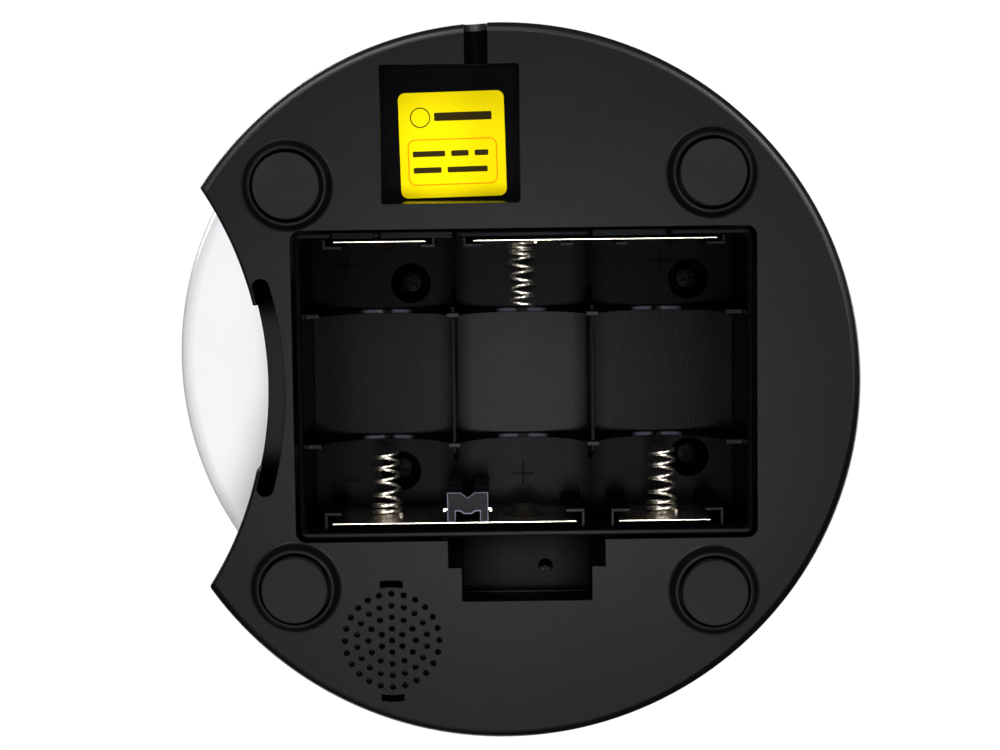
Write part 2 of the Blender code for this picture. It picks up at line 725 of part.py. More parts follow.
def hopper():
    outer = [
        (0, HOPPER_FLOOR),
        (CHAMBER_RADIUS, HOPPER_FLOOR),
        (CHAMBER_RADIUS, 150),
        (80, 193),
        (93.3, 211),
        (93.3, UPPER_TOP + GAP),
        (96.6, UPPER_TOP + GAP),
        (96.6, HOPPER_TOP),
    ]
    inner = [
        (94.2, HOPPER_TOP),
        (94.2, 219.0),
        (91.2, 212.0),
        (78, 194.2),
        (CHAMBER_RADIUS - HOPPER_WALL, 150.9),
        (CHAMBER_RADIUS - HOPPER_WALL, HOPPER_FLOOR + HOPPER_WALL),
        (0, HOPPER_FLOOR + HOPPER_WALL),
    ]
    bucket = add_object("hopper", turned(outer + inner, 40), "smoke_plastic")
    cut(
        bucket,
        box((-17, -50, HOPPER_FLOOR - 1), (17, -29, HOPPER_FLOOR + HOPPER_WALL + 1)),
        rod(5, HOPPER_FLOOR - 1, HOPPER_FLOOR + HOPPER_WALL + 1, steps=24),
    )


def hinge_knuckle(low, high):
    bm = rod(3.2, 0, high - low, steps=24)
    along_x(bm, low, HINGE_PLACE)
    return bm


def hopper_collar():
    ring = [
        (COLLAR_BORE, COLLAR_TOP),
        (COLLAR_BORE, HOPPER_TOP - 3),
        (COLLAR_BORE + 2, HOPPER_TOP - 3),
        (COLLAR_BORE + 2, HOPPER_TOP + GAP),
        (96.9, HOPPER_TOP + GAP),
        (96.9, COLLAR_TOP - 2),
        (95.4, COLLAR_TOP),
    ]
    collar = add_object("hopper_collar", turned(ring, 40, closed=True), "white_plastic")
    y, z = HINGE_PLACE
    for low, high in ((-15.5, -8.2), (8.2, 15.5)):
        join(collar, box((low, y - 3.2, COLLAR_TOP - 1), (high, y + 2.8, z)), hinge_knuckle(low, high))
    pin = rod(PIN_RADIUS + 0.08, 0, 40, steps=24)
    cut(collar, along_x(pin, -20, HINGE_PLACE))
    cut(collar, box((-5.2, -88.2, HOPPER_TOP + 3), (5.2, -84.4, COLLAR_TOP + 1)))


def lid():
    profile = [
        (0, LID_TOP),
        (30, 302.6),
        (60, 301.0),
        (80, 298.6),
        (86, 297.2),
        (LID_RADIUS, 296.0),
        (LID_RADIUS, LID_FACE),
        (80, LID_FACE),
        (80, 286),
        (78, 286),
        (78, 295.6),
        (60, 298.6),
        (30, 300.2),
        (0, 300.6),
    ]
    cover = add_object("lid", turned(profile, 40), "white_plastic", (0, *HINGE_PLACE))
    y, z = HINGE_PLACE
    join(cover, box((-7.8, 83, 294.4), (7.8, y, 298.2)), hinge_knuckle(-7.8, 7.8))
    pin = rod(PIN_RADIUS + 0.08, 0, 40, steps=24)
    cut(cover, along_x(pin, -20, HINGE_PLACE))
    cut(cover, box((-11, -90, LID_FACE - 1), (11, -80.6, LID_TOP)))


def lid_catch():
    """A sliding thumb catch in a notch in the lid's front edge, with a tongue down into the collar."""
    slider = box((-10.5, -87, 294.0), (10.5, -83.6, 299.6))
    catch = add_object("lid_catch", slider, "grey_rubber", (0, -86, 294))
    join(catch, box((-4, -87, 286.6), (4, -85.6, 295)))


def lid_parts():
    low, high = COLLAR_TOP + GAP, LID_FACE - GAP
    seal = [(82.6, low), (82.6, high), (84.0, high), (84.0, low)]
    add_object("lid_seal", turned(seal, 32, closed=True), "grey_rubber")
    cup = [(0, 286.4), (20, 286.4), (20, 299.4), (18.6, 299.4), (18.6, 287.8), (0, 287.8)]
    add_object("desiccant_holder", turned(cup, 24), "white_plastic")
    pin = rod(PIN_RADIUS, 0, 30, steps=24)
    add_object("lid_hinge_pin", along_x(pin, -15, HINGE_PLACE), "steel")


def control_fascia():
    fascia = add_object(
        "control_fascia", box((-PANEL_HALF, -99, PANEL_LOW), (PANEL_HALF, -88, PANEL_HIGH)), "black_gloss"
    )
    rounder = combine(fascia, rod(96.7, PANEL_LOW - 5, PANEL_HIGH + 5, steps=64), "INTERSECT")
    rounder.name = "Rounder"
    button_hole = BUTTON_RADIUS + 0.4
    cut(
        fascia,
        box((-50, -110, PANEL_LOW + 2), (50, PANEL_FACE, PANEL_HIGH - 2)),
        merged([along_y(rod(button_hole, 0, 20, steps=24), -100, (x, BUTTON_HEIGHT)) for x in BUTTON_PLACES]),
        box((-23.3, -100, 156), (23.3, -80, 183)),
        along_y(rod(0.6, 0, 20, steps=8), -100, (0, 131.5)),
    )


def panel_parts():
    add_object("display_window", box((-23, -89.9, 156.3), (23, -88.3, 182.7)), "glass")
    add_object("display_module", box((-24, -87.7, 155), (24, -84.4, 184)), "black_plastic")
    board = add_object("panel_board", box((-30, -83.2, 129), (30, -81.6, 188)), "board")
    join(
        board,
        *[along_y(rod(2.6, 0, 2.2, steps=12), -85.2, (x, BUTTON_HEIGHT)) for x in BUTTON_PLACES],
        box((-22, -84.1, 160), (22, -83, 178)),
    )
    add_object("microphone", along_y(rod(2.0, 0, 3.5, steps=16), -87.4, (0, 131.5)), "steel")
    for number, x in enumerate(BUTTON_PLACES, 1):
        cap = [(0, 0), (BUTTON_RADIUS - 0.6, 0), (BUTTON_RADIUS, 0.6), (BUTTON_RADIUS, 4.6), (0, 4.6)]
        bm = along_y(turned(cap, 24), PANEL_FACE - 1.2, (x, BUTTON_HEIGHT))
        add_object(f"panel_button_{number}", bm, "white_plastic", (x, PANEL_FACE, BUTTON_HEIGHT))


def main():
    clear_scene()
    base_cover()
    foot_pads()
    battery_box()
    contact_plates()
    contact_springs()
    base_screws()
    supply_label()
    dc_jack()
    speaker()
    lower_housing()
    food_chute()
    main_circuit_board()
    upper_housing()
    drive_train()
    gearbox()
    motor()
    dispensing_rotor()
    portion_baffle()
    hopper()
    hopper_collar()
    lid()
    lid_catch()
    lid_parts()
    control_fascia()
    panel_parts()


main()
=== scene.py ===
"""Looks of the automatic pet feeder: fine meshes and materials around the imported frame.

Shapes are written in millimetres and scaled to metres when they become objects.
"""

import json
import math

import bmesh
import bpy
from mathutils import Matrix, Vector

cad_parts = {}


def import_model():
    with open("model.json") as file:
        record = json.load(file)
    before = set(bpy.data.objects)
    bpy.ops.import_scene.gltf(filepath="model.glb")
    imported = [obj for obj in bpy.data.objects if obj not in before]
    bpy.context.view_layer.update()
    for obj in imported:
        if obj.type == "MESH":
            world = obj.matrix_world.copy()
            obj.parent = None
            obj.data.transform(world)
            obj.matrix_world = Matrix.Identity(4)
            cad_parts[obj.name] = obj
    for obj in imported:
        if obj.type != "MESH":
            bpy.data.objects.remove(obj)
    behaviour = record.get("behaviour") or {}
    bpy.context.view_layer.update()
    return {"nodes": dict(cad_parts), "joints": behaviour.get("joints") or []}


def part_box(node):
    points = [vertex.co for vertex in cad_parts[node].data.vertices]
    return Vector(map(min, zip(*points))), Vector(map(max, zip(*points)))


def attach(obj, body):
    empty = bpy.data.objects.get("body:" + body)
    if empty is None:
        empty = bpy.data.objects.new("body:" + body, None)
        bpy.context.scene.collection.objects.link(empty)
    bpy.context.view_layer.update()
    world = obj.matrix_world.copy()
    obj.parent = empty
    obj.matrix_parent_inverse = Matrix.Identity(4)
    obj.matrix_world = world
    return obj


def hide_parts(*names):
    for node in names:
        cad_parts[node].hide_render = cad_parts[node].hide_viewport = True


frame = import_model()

SCENE = bpy.context.scene
MM = 0.001
SHARP_ANGLE = math.radians(35)
BEVEL_ANGLE = math.radians(40)
NODES = frame["nodes"]


def span(node):
    """The lowest and highest corner of a CAD node, in millimetres."""
    low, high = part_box(node)
    return Vector(low) / MM, Vector(high) / MM


def middle(node):
    low, high = span(node)
    return (low + high) / 2


# The base, read from the frame where a node gives the value
BASE_RADIUS = span("lower_housing")[1].x
BASE_FACE = 5.5
BASE_TOP = span("base_cover")[0].z + 17.2
BITE_RADIUS = 95.0
BITE_CENTRE = -156.5
TUB_LOW, TUB_HIGH = span("battery_box")
COVER_WALL = 2.5
LATCH_TOP = BASE_FACE + 13
LATCH_Y = 5.85
LATCH_EDGE = -56.4
TUB_WALL = 1.6
FLOOR = 44.0
WELL_FLOOR = 54.0
HOOK_TOP = 12.1
RIB_TOP = 21.0
RIB_X = 17.3
RETAINER_Y = -9.4
BAY_LOW = Vector((TUB_LOW.x + TUB_WALL, TUB_LOW.y + TUB_WALL))
BAY_HIGH = Vector((TUB_HIGH.x - TUB_WALL, TUB_HIGH.y - TUB_WALL))
ROWS = [middle(f"contact_spring_{number}").y for number in (1, 2, 3)]
DIVIDERS = [(near + far) / 2 for near, far in zip(ROWS, ROWS[1:])]
CELL_AXIS = middle("contact_spring_1").z
SCREWS = [middle(f"base_screw_{number}") for number in (1, 2, 3, 4)]
CORNERS = ("front_left", "front_right", "rear_left", "rear_right")
FEET = {name: middle(f"foot_pad_{name}") for name in CORNERS}
SPEAKER = middle("speaker_basket")
LABEL_LOW, LABEL_HIGH = span("supply_label")
FOOT_BORE = 9.3
JACK_X = 55.6
WELL_LOW = (46.9, -30.3)
WELL_HIGH = (82.3, 5.3)
WELL_TOP = LABEL_HIGH.z + 0.3

# The body
HINGE = Vector(next(j for j in frame["joints"] if j["name"] == "lid_hinge")["pos_m"]) / MM
KNUCKLE, PIN_HOLE, KNUCKLE_HALF = 3.2, 1.58, 7.8
COLLAR_TOP = 292.0
PANEL_FACE = -90.0
BUTTONS = {number: middle(f"panel_button_{number}") for number in (1, 2, 3, 4)}

# What a step does to a piece
CUT, JOIN = "DIFFERENCE", "UNION"


# ---- mesh tools


def circle(radius, centre=(0, 0), steps=64, start=0.0, sweep=360.0):
    """Points round a circle, or along an arc with both of its ends."""
    whole = sweep >= 360
    count = steps if whole else steps + 1
    turns = [math.radians(start + sweep * i / steps) for i in range(count)]
    return [(centre[0] + radius * math.cos(t), centre[1] + radius * math.sin(t)) for t in turns]


def rounded(low, high, radius, steps=6):
    """A rectangle with round corners."""
    corners = [
        (high[0] - radius, high[1] - radius, 0),
        (low[0] + radius, high[1] - radius, 90),
        (low[0] + radius, low[1] + radius, 180),
        (high[0] - radius, low[1] + radius, 270),
    ]
    return [point for x, y, start in corners for point in circle(radius, (x, y), steps, start, 90)]


def grown(low, high, gap, radius, steps=6):
    """A rectangle with round corners, grown by a gap on each side."""
    return rounded((low[0] - gap, low[1] - gap), (high[0] + gap, high[1] + gap), radius, steps)


def arc_strip(inner, outer, half, centre=(0, BITE_CENTRE), facing=90.0, steps=24):
    """A strip between two radii about a centre, with half its width on each side of the way it faces."""
    reach = math.degrees(math.asin(half / inner))
    far = math.degrees(math.asin(half / outer))
    return [
        *circle(inner, centre, steps, facing + reach, -2 * reach),
        *circle(outer, centre, steps, facing - far, 2 * far),
    ]


def bitten(inset=0.0, bite_share=1.0):
    """The base's outline, inset: a circle with a round bite in its -Y side and small round tips."""
    radius, bite, tip = BASE_RADIUS - inset, BITE_RADIUS + inset * bite_share, 1.1
    reach = radius - tip
    y = ((bite + tip) ** 2 - reach**2 - BITE_CENTRE**2) / (-2 * BITE_CENTRE)
    x = math.sqrt(reach**2 - y**2)
    turn = math.degrees(math.atan2(y, x))
    half = math.degrees(math.atan2(x, y - BITE_CENTRE))
    back = math.degrees(math.atan2(BITE_CENTRE - y, x)) + 360
    return [
        *circle(radius, (0, 0), 150, turn, 180 - 2 * turn),
        *circle(tip, (-x, y), 6, 180 - turn, back - 180 + turn)[1:-1],
        *circle(bite, (0, BITE_CENTRE), 64, 90 + half, -2 * half),
        *circle(tip, (x, y), 6, 540 - back, turn + back - 180)[1:-1],
    ]


def lofted(loops):
    """A closed solid through loops of equally many points, each given as (outline, height)."""
    bm = bmesh.new()
    rings = [[bm.verts.new((x, y, z)) for x, y in outline] for outline, z in loops]
    for lower, upper in zip(rings, rings[1:]):
        for i in range(len(lower)):
            j = (i + 1) % len(lower)
            bm.faces.new((lower[i], lower[j], upper[j], upper[i]))
    bm.faces.new(list(reversed(rings[0])))
    bm.faces.new(rings[-1])
    return bm


def prism(outline, low, high):
    return lofted([(outline, low), (outline, high)])


def along_x(outline, low, high):
    """A prism along X, on a closed outline of (y, z) points."""
    bm = prism([(z, y) for y, z in outline], low, high)
    bm.transform(Matrix(((0, 0, 1, 0), (0, 1, 0, 0), (1, 0, 0, 0), (0, 0, 0, 1))))
    return bm


def side_plate(outline, y, thick):
    """A plate on a closed outline of (x, z) points, at y."""
    bm = prism(outline, y - thick / 2, y + thick / 2)
    bm.transform(Matrix(((1, 0, 0, 0), (0, 0, 1, 0), (0, 1, 0, 0), (0, 0, 0, 1))))
    return bm


def block(low, high, edge=0.0):
    """A box, with its edges rounded where an edge radius is given."""
    outline = [(low[0], low[1]), (high[0], low[1]), (high[0], high[1]), (low[0], high[1])]
    bm = prism(outline, low[2], high[2])
    if edge:
        bmesh.ops.bevel(bm, geom=bm.edges[:], offset=edge, segments=3, affect="EDGES", profile=0.5)
    return bm


def chamfered(bm, level, edge):
    """A prism with a broken edge round the face at one level."""
    bm.normal_update()
    ends = [face for face in bm.faces if all(abs(vert.co.z - level) < 0.001 for vert in face.verts)]
    outer = {vert for face in ends for vert in face.verts}
    bmesh.ops.inset_region(bm, faces=ends, thickness=edge, use_even_offset=True)
    for vert in outer:
        vert.co.z += edge
    return bm


def turned(profile, steps=96, centre=(0, 0), closed=False):
    """A solid of revolution on (radius, height) points, from axis to axis unless closed."""
    bm = bmesh.new()
    verts = [bm.verts.new((r, 0, z)) for r, z in profile]
    ends = verts + verts[:1] if closed else verts
    edges = [bm.edges.new(pair) for pair in zip(ends, ends[1:])]
    whole = {"cent": (0, 0, 0), "axis": (0, 0, 1), "angle": 2 * math.pi}
    bmesh.ops.spin(bm, geom=verts + edges, steps=steps, use_merge=True, **whole)
    bmesh.ops.remove_doubles(bm, verts=bm.verts, dist=1e-4)
    bmesh.ops.translate(bm, verts=bm.verts, vec=(centre[0], centre[1], 0))
    return bm


def curve_profile(corners):
    """A turned profile whose (radius, height, rounding) corners are softened by short arcs."""
    points, steps = [], 5
    for i, (r, z, soft) in enumerate(corners):
        if not soft:
            points.append((r, z))
            continue
        here = Vector((r, z))
        before = Vector(corners[i - 1][:2])
        after = Vector(corners[(i + 1) % len(corners)][:2])
        start = here + (before - here).normalized() * soft
        end = here + (after - here).normalized() * soft
        for step in range(steps + 1):
            t = step / steps
            point = start * (1 - t) ** 2 + here * 2 * t * (1 - t) + end * t * t
            points.append((point.x, point.y))
    return points


def moved(bm, offset, turn):
    """A shape turned about Z, then moved."""
    bm.transform(Matrix.Translation(offset) @ Matrix.Rotation(math.radians(turn), 4, "Z"))
    return bm


def laid_over(bm, place, turn, axis):
    """A shape turned by quarter turns about an axis, then moved to its place."""
    bm.transform(Matrix.Translation(place) @ Matrix.Rotation(turn * math.pi / 2, 4, axis))
    return bm


def mesh_of(name, bm):
    mesh = bpy.data.meshes.new(name)
    bm.to_mesh(mesh)
    bm.free()
    return mesh


def merged(shapes):
    """One shape that holds several which don't touch each other."""
    whole = bmesh.new()
    for bm in shapes:
        mesh = mesh_of("part", bm)
        whole.from_mesh(mesh)
        bpy.data.meshes.remove(mesh)
    return whole


def linked(obj):
    SCENE.collection.objects.link(obj)
    return obj


def pegs(places, radius, low, high, steps):
    """Upright cylinders at several places."""
    return merged([prism(circle(radius, place, steps), low, high) for place in places])


def plain_object(name, bm):
    bmesh.ops.recalc_face_normals(bm, faces=bm.faces)
    bm.transform(Matrix.Scale(MM, 4))
    return linked(bpy.data.objects.new(name, mesh_of(name, bm)))


def apply_modifiers(made):
    if not made.modifiers:
        return
    evaluated = made.evaluated_get(bpy.context.evaluated_depsgraph_get())
    mesh = bpy.data.meshes.new_from_object(evaluated)
    made.modifiers.clear()
    made.data = mesh


def modified(obj, name, kind, **values):
    modifier = obj.modifiers.new(name, kind)
    for key, value in values.items():
        setattr(modifier, key, value)


def dressed(obj, finish):
    obj.data.materials.clear()
    obj.data.materials.append(finish)


def piece(name, bm, finish, nodes=(), body="root", steps=(), bevel=0.0):
    """A finished piece of the object.

    Steps are (operation, shape) pairs that are carried out in order. The piece then rides on its body and
    stands for the CAD nodes that it replaces.
    """
    made = plain_object(name, bm)
    helpers = []
    for operation, shape in steps:
        helper = plain_object(f"{name}_helper_{len(helpers)}", shape)
        helpers.append(helper)
        modified(made, "Step", "BOOLEAN", operation=operation, solver="EXACT", object=helper)
    if bevel:
        limits = {"limit_method": "ANGLE", "angle_limit": BEVEL_ANGLE, "use_clamp_overlap": True}
        modified(made, "Edges", "BEVEL", width=bevel * MM, segments=3, **limits)
    apply_modifiers(made)
    for helper in helpers:
        bpy.data.objects.remove(helper)
    dressed(made, finish)
    made.data.shade_smooth()
    made.data.set_sharp_from_angle(angle=SHARP_ANGLE)
    modified(made, "Flat faces stay flat", "WEIGHTED_NORMAL", keep_sharp=True)
    apply_modifiers(made)
    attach(made, body)
    if nodes:
        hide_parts(*nodes)
    return made


# ---- materials


def new_material(name, slot):
    """A material with its Principled shader, a function that adds a node and one that feeds a node."""
    made = bpy.data.materials.new(name)
    made.use_nodes = True
    made["slot"] = slot
    tree = made.node_tree

    def feed(node, links=(), **values):
        for key, value in values.items():
            if key in node.inputs:
                node.inputs[key].default_value = value
            else:
                setattr(node, key, value)
        for source, target in links:
            tree.links.new(source, node.inputs[target])
        return node

    def add(kind, links=(), **values):
        return feed(tree.nodes.new("ShaderNode" + kind), links, **values)

    return made, tree.nodes["Principled BSDF"], add, feed


def noise(add, where, scale, detail, **more):
    """A noise pattern's value."""
    values = {"Scale": scale, "Detail": detail, **more}
    return add("TexNoise", [(where, "Vector")], **values).outputs["Fac"]


def ramp(node, stops):
    """Sets a colour ramp's stops, given as (position, grey or colour)."""
    elements = node.color_ramp.elements
    while len(elements) < len(stops):
        elements.new(0.5)
    for element, (position, value) in zip(elements, stops):
        element.position = position
        colour = value if isinstance(value, tuple) else (value, value, value)
        element.color = (*colour, 1)


def zone_mask(add, where, tests):
    """The product of ramps, each (measure, where it is 0, where it is 1) in millimetres."""
    parts = add("SeparateXYZ", [(where, "Vector")]).outputs
    off_axis = add("Math", [(parts["X"], 0)], operation="ABSOLUTE")
    flat = add("CombineXYZ", [(parts["X"], "X"), (parts["Y"], "Y")])
    radius = add("VectorMath", [(flat.outputs["Vector"], 0)], operation="LENGTH")
    past = add("Math", [(parts["Y"], 0)], operation="SUBTRACT")
    past.inputs[1].default_value = ROWS[0] * MM
    from_cell = add("Math", [(past.outputs[0], 0)], operation="PINGPONG")
    from_cell.inputs[1].default_value = (ROWS[1] - ROWS[0]) / 2 * MM
    measures = {
        "x": parts["X"],
        "y": parts["Y"],
        "height": parts["Z"],
        "radius": radius.outputs["Value"],
        "off_axis": off_axis.outputs[0],
        "from_cell": from_cell.outputs[0],
    }
    mask = None
    for measure, none, full in tests:
        limits = {"From Min": none * MM, "From Max": full * MM}
        test = add("MapRange", [(measures[measure], "Value")], **limits).outputs[0]
        links = [(mask, 0), (test, 1)]
        mask = add("Math", links, operation="MULTIPLY").outputs[0] if mask else test
    return mask


def spread(add, source, low, high):
    """A value that goes from low to high as its source goes from 0 to 1."""
    limits = {"To Min": low, "To Max": high}
    return add("MapRange", [(source, "Value")], **limits).outputs["Result"]


def gained(add, value, mask, gain):
    """A value, multiplied by a gain where the mask is 1."""
    factor = spread(add, mask, 1.0, gain)
    return add("Math", [(value, 0), (factor, 1)], operation="MULTIPLY").outputs[0]


def moulded(
    name, slot, colour, roughness, grain=0.12, grain_size=0.35, tint=0.12,
    soften=0.0, specular=0.5, coat=0.0, zones=(),
):
    """Moulded plastic or rubber: fine grain, slow colour drift, uneven gloss and softened edges.

    Each zone is (tests, colour gain, roughness gain, specular gain), for a place with another finish or
    with painted light or shade in its colour.
    """
    made, shader, add, feed = new_material(name, slot)
    where = add("TexCoord").outputs["Object"]
    drift = noise(add, where, 38.0, 3.0)
    darker = tuple(c * (1 - tint) for c in colour)
    lighter = tuple(min(c * (1 + tint), 1) for c in colour)
    shade = add("ValToRGB", [(drift, "Fac")])
    ramp(shade, [(0.3, darker), (0.7, lighter)])
    patches = noise(add, where, 210.0, 4.0)
    rough = spread(add, patches, roughness * 0.9, min(roughness * 1.1, 1))
    pits = noise(add, where, 1 / (grain_size * MM), 2.0)
    bump = add("Bump", [(pits, "Height")], Strength=grain, Distance=0.0001)
    tone, shine = shade.outputs["Color"], add("Value").outputs[0]
    shine.default_value = specular
    for tests, tone_gain, rough_gain, shine_gain in zones:
        mask = zone_mask(add, where, tests)
        links = [(tone, 0), (spread(add, mask, 1.0, tone_gain), "Scale")]
        tone = add("VectorMath", links, operation="SCALE").outputs[0]
        rough = gained(add, rough, mask, rough_gain)
        shine = gained(add, shine, mask, shine_gain)
    if soften:
        edge = add("Bevel", Radius=soften * MM, samples=6)
        feed(bump, [(edge.outputs["Normal"], "Normal")])
    links = [(tone, "Base Color"), (rough, "Roughness"), (bump.outputs["Normal"], "Normal")]
    if zones:
        links.append((shine, "Specular IOR Level"))
    levels = {"Specular IOR Level": specular, "Coat Weight": coat, "Coat Roughness": 0.08}
    feed(shader, links, **levels)
    return made


def metal(name, slot, colour, roughness, brush=(1.0, 1.0, 1.0), scratch=0.1):
    """Plated or drawn metal, with fine scratches along the brushed direction and uneven gloss."""
    made, shader, add, feed = new_material(name, slot)
    where = add("TexCoord").outputs["Object"]
    stretch = add("Mapping", [(where, "Vector")], Scale=brush).outputs["Vector"]
    lines = noise(add, stretch, 1400.0, 3.0)
    shade = add("ValToRGB", [(noise(add, where, 150.0, 3.0), "Fac")])
    ramp(shade, [(0.3, tuple(c * 0.88 for c in colour)), (0.7, colour)])
    gloss = spread(add, lines, roughness * 0.75, roughness * 1.3)
    bump = add("Bump", [(lines, "Height")], Strength=scratch, Distance=0.00004)
    links = [(shade.outputs["Color"], "Base Color"), (gloss, "Roughness")]
    feed(shader, [*links, (bump.outputs["Normal"], "Normal")], Metallic=1.0)
    return made


def clear_plastic(name, slot, colour, roughness, transmission):
    """Tinted see-through plastic with faint flow lines."""
    made, shader, add, feed = new_material(name, slot)
    where = add("TexCoord").outputs["Object"]
    flow = noise(add, where, 60.0, 2.0, Distortion=0.6)
    shade = add("ValToRGB", [(flow, "Fac")])
    ramp(shade, [(0.2, tuple(c * 0.94 for c in colour)), (0.8, colour)])
    gloss = spread(add, flow, roughness * 0.8, roughness * 1.2)
    links = [(shade.outputs["Color"], "Base Color"), (gloss, "Roughness")]
    feed(shader, links, **{"Transmission Weight": transmission, "IOR": 1.5})
    return made


def over(measure, limit):
    """A ramp that is 1 above a limit."""
    return (measure, limit - 0.03, limit + 0.03)


def under(measure, limit):
    """A ramp that is 1 below a limit."""
    return (measure, limit + 0.03, limit - 0.03)


def within(measure, low, high):
    """Ramps that are 1 between two limits."""
    return over(measure, low), under(measure, high)


LATCH_FLOOR = (*within("height", LATCH_TOP - 0.1, LATCH_TOP + 0.05), under("x", -39))
DIMPLE_WALL = (over("height", LATCH_TOP + 0.08), under("x", -45))
SLOT_WALLS = (over("height", 6.4), under("y", -50))
LOWER_EDGE = (under("height", BASE_FACE + 2.3), over("radius", 90.5))
IN_WELL = (*within("x", WELL_LOW[0] - 0.1, WELL_HIGH[0] + 0.1), *within("y", WELL_LOW[1] - 0.1, 10))
BASE_ZONES = [
    # Recesses and inner walls: polished, and their colour darkened as painted shade
    ((over("height", BASE_FACE + 0.8), under("radius", 91)), 0.25, 0.6, 0.25),
    # The outer wall
    ((over("height", BASE_FACE + 2.3), over("radius", 91)), 2.2, 1.2, 6.0),
    # The rounded lower edge with a painted highlight, and painted shade on its side away from the light
    (LOWER_EDGE, 1.3, 0.9, 6.0),
    ((*LOWER_EDGE, ("x", 20, -20)), 0.5, 1.0, 0.15),
    # The slot: painted shade in its closed ends, and painted light in its open middle
    ((*SLOT_WALLS, ("off_axis", 17, 22), under("off_axis", 29)), 0.1, 1.0, 0.05),
    ((*SLOT_WALLS, ("off_axis", 22, 14)), 3.0, 1.5, 3.0),
    # The latch recess: painted shade on its floor towards the walls, and a painted highlight line along
    # its outer edge
    ((*LATCH_FLOOR, ("y", 1, -11)), 0.35, 1.0, 0.2),
    ((*LATCH_FLOOR, ("y", 12, 22)), 0.35, 1.0, 0.2),
    ((*LATCH_FLOOR, ("x", -48, -41)), 0.45, 1.0, 0.3),
    ((*LATCH_FLOOR, ("x", -53, -56)), 0.5, 1.0, 0.3),
    ((*LATCH_FLOOR, under("x", -56.1)), 14.0, 1.0, 20.0),
    # The dimple in it: one side in shade, the other lit
    ((*DIMPLE_WALL, ("x", -50.2, -49.2)), 0.2, 1.0, 0.02),
    ((*DIMPLE_WALL, ("x", -49.4, -50.6)), 12.0, 1.5, 6.0),
    # The feet: a painted highlight line at the foot of each ring, and painted shade on its wall
    (within("height", BASE_FACE - 0.5, BASE_FACE - 0.06), 2.4, 1.0, 3.5),
    (within("height", 2.7, BASE_FACE - 0.5), 0.8, 0.9, 1.5),
    # The label well: a dull floor and polished walls, with less of the recesses' painted shade
    ((*IN_WELL, over("height", WELL_TOP - 0.1)), 4.0, 3.0, 0.5),
    ((*IN_WELL, *within("height", BASE_FACE + 1, WELL_TOP - 0.1)), 3.0, 0.25, 30.0),
]
RIM = under("height", TUB_LOW.z + 0.45)
BAY_FLOOR = within("height", FLOOR - 0.3, FLOOR + 0.8)
RETAINER = (*within("y", RETAINER_Y - 5.8, RETAINER_Y + 5.8), *within("x", -36.8, -28))
CREST = (
    ("off_axis", RIB_X - 0.6, RIB_X - 0.2),
    ("off_axis", RIB_X + 0.6, RIB_X + 0.2),
    ("from_cell", 1.0, 2.2),
    ("from_cell", 7.0, 5.0),
    *within("height", CELL_AXIS + 16.1, CELL_AXIS + 17.7),
)
BAY_ZONES = [
    # Walls, ribs and hooks: polished, and their colour darkened as painted shade
    (within("height", TUB_LOW.z + 0.5, FLOOR - 0.3), 0.25, 0.6, 0.5),
    # The rim: painted light along its two long sides, and painted shade on its two short ones
    ((RIM, over("x", 38.5)), 1.6, 1.0, 2.0),
    ((RIM, under("x", -38.5)), 2.3, 1.0, 3.0),
    ((RIM, under("off_axis", 38.5)), 0.4, 1.0, 0.4),
    # Painted highlights on the hooks' near ends and on the caps of the ribs
    (within("height", HOOK_TOP - 0.2, HOOK_TOP + 0.3), 9.0, 1.5, 6.0),
    (within("height", RIB_TOP - 0.5, RIB_TOP + 0.2), 4.0, 1.5, 6.0),
    # The retainer: painted shade on its near face, a painted highlight on its broken edge, and painted
    # light on its side
    ((*RETAINER, under("height", HOOK_TOP + 0.03)), 0.08, 1.0, 0.1),
    ((*RETAINER, *within("height", HOOK_TOP + 0.03, HOOK_TOP + 0.27)), 30.0, 1.0, 8.0),
    ((*within("height", HOOK_TOP + 0.3, FLOOR - 0.3), *within("x", -28.9, -28.5)), 7.0, 1.5, 3.0),
    # Two painted glints on each rib's crest, on either side of a cell's middle
    (CREST, 70.0, 1.0, 10.0),
    # The floor: painted light, brightest in the middle cell, and painted shade beside the dividers and
    # along the walls
    ((*BAY_FLOOR, ("off_axis", 18, 16.4)), 1.05, 0.85, 1.7),
    ((*BAY_FLOOR, ("x", 16.4, 18)), 0.75, 1.0, 0.8),
    ((*BAY_FLOOR, ("x", -16.4, -18)), 1.2, 1.0, 1.2),
    ((*BAY_FLOOR, ("y", -8, -16)), 0.7, 1.0, 0.7),
    ((*BAY_FLOOR, ("y", 19, 27)), 0.7, 1.0, 0.7),
    *[((*BAY_FLOOR, ("y", y - 5, y), ("y", y + 5, y)), 0.3, 1.0, 0.3) for y in DIVIDERS],
    ((*BAY_FLOOR, ("y", BAY_LOW.y + 12, BAY_LOW.y)), 0.5, 1.0, 0.5),
    ((*BAY_FLOOR, ("y", BAY_HIGH.y - 12, BAY_HIGH.y)), 0.5, 1.0, 0.5),
    # Painted shade in the screw wells, above the floor
    ((over("height", FLOOR + 0.8),), 0.1, 1.0, 0.05),
]
# Each has a slot, a colour and a roughness, then grain, grain size and tint where these are special
BLACK = moulded(
    "black_moulding", "black_plastic", (0.0034, 0.0034, 0.0042), 0.35, 0.3, 0.4,
    soften=0.3, specular=0.055, zones=BASE_ZONES,
)
BODY_BLACK = moulded(
    "body_black_moulding", "black_plastic", (0.0075, 0.0075, 0.009), 0.42, 0.22, 0.4,
    soften=0.35, specular=0.36,
)
TUB_BLACK = moulded(
    "bay_moulding", "black_plastic", (0.0024, 0.0024, 0.0032), 0.25, 0.3, 0.5,
    soften=0.25, specular=0.008, zones=BAY_ZONES,
)
HIDDEN_BLACK = moulded("inner_moulding", "black_plastic", (0.012, 0.012, 0.013), 0.55)
RUBBER = moulded(
    "foot_rubber", "rubber", (0.0115, 0.0115, 0.0118), 0.86, 0.5, 0.5, 0.1,
    soften=0.3, specular=0.1,
)
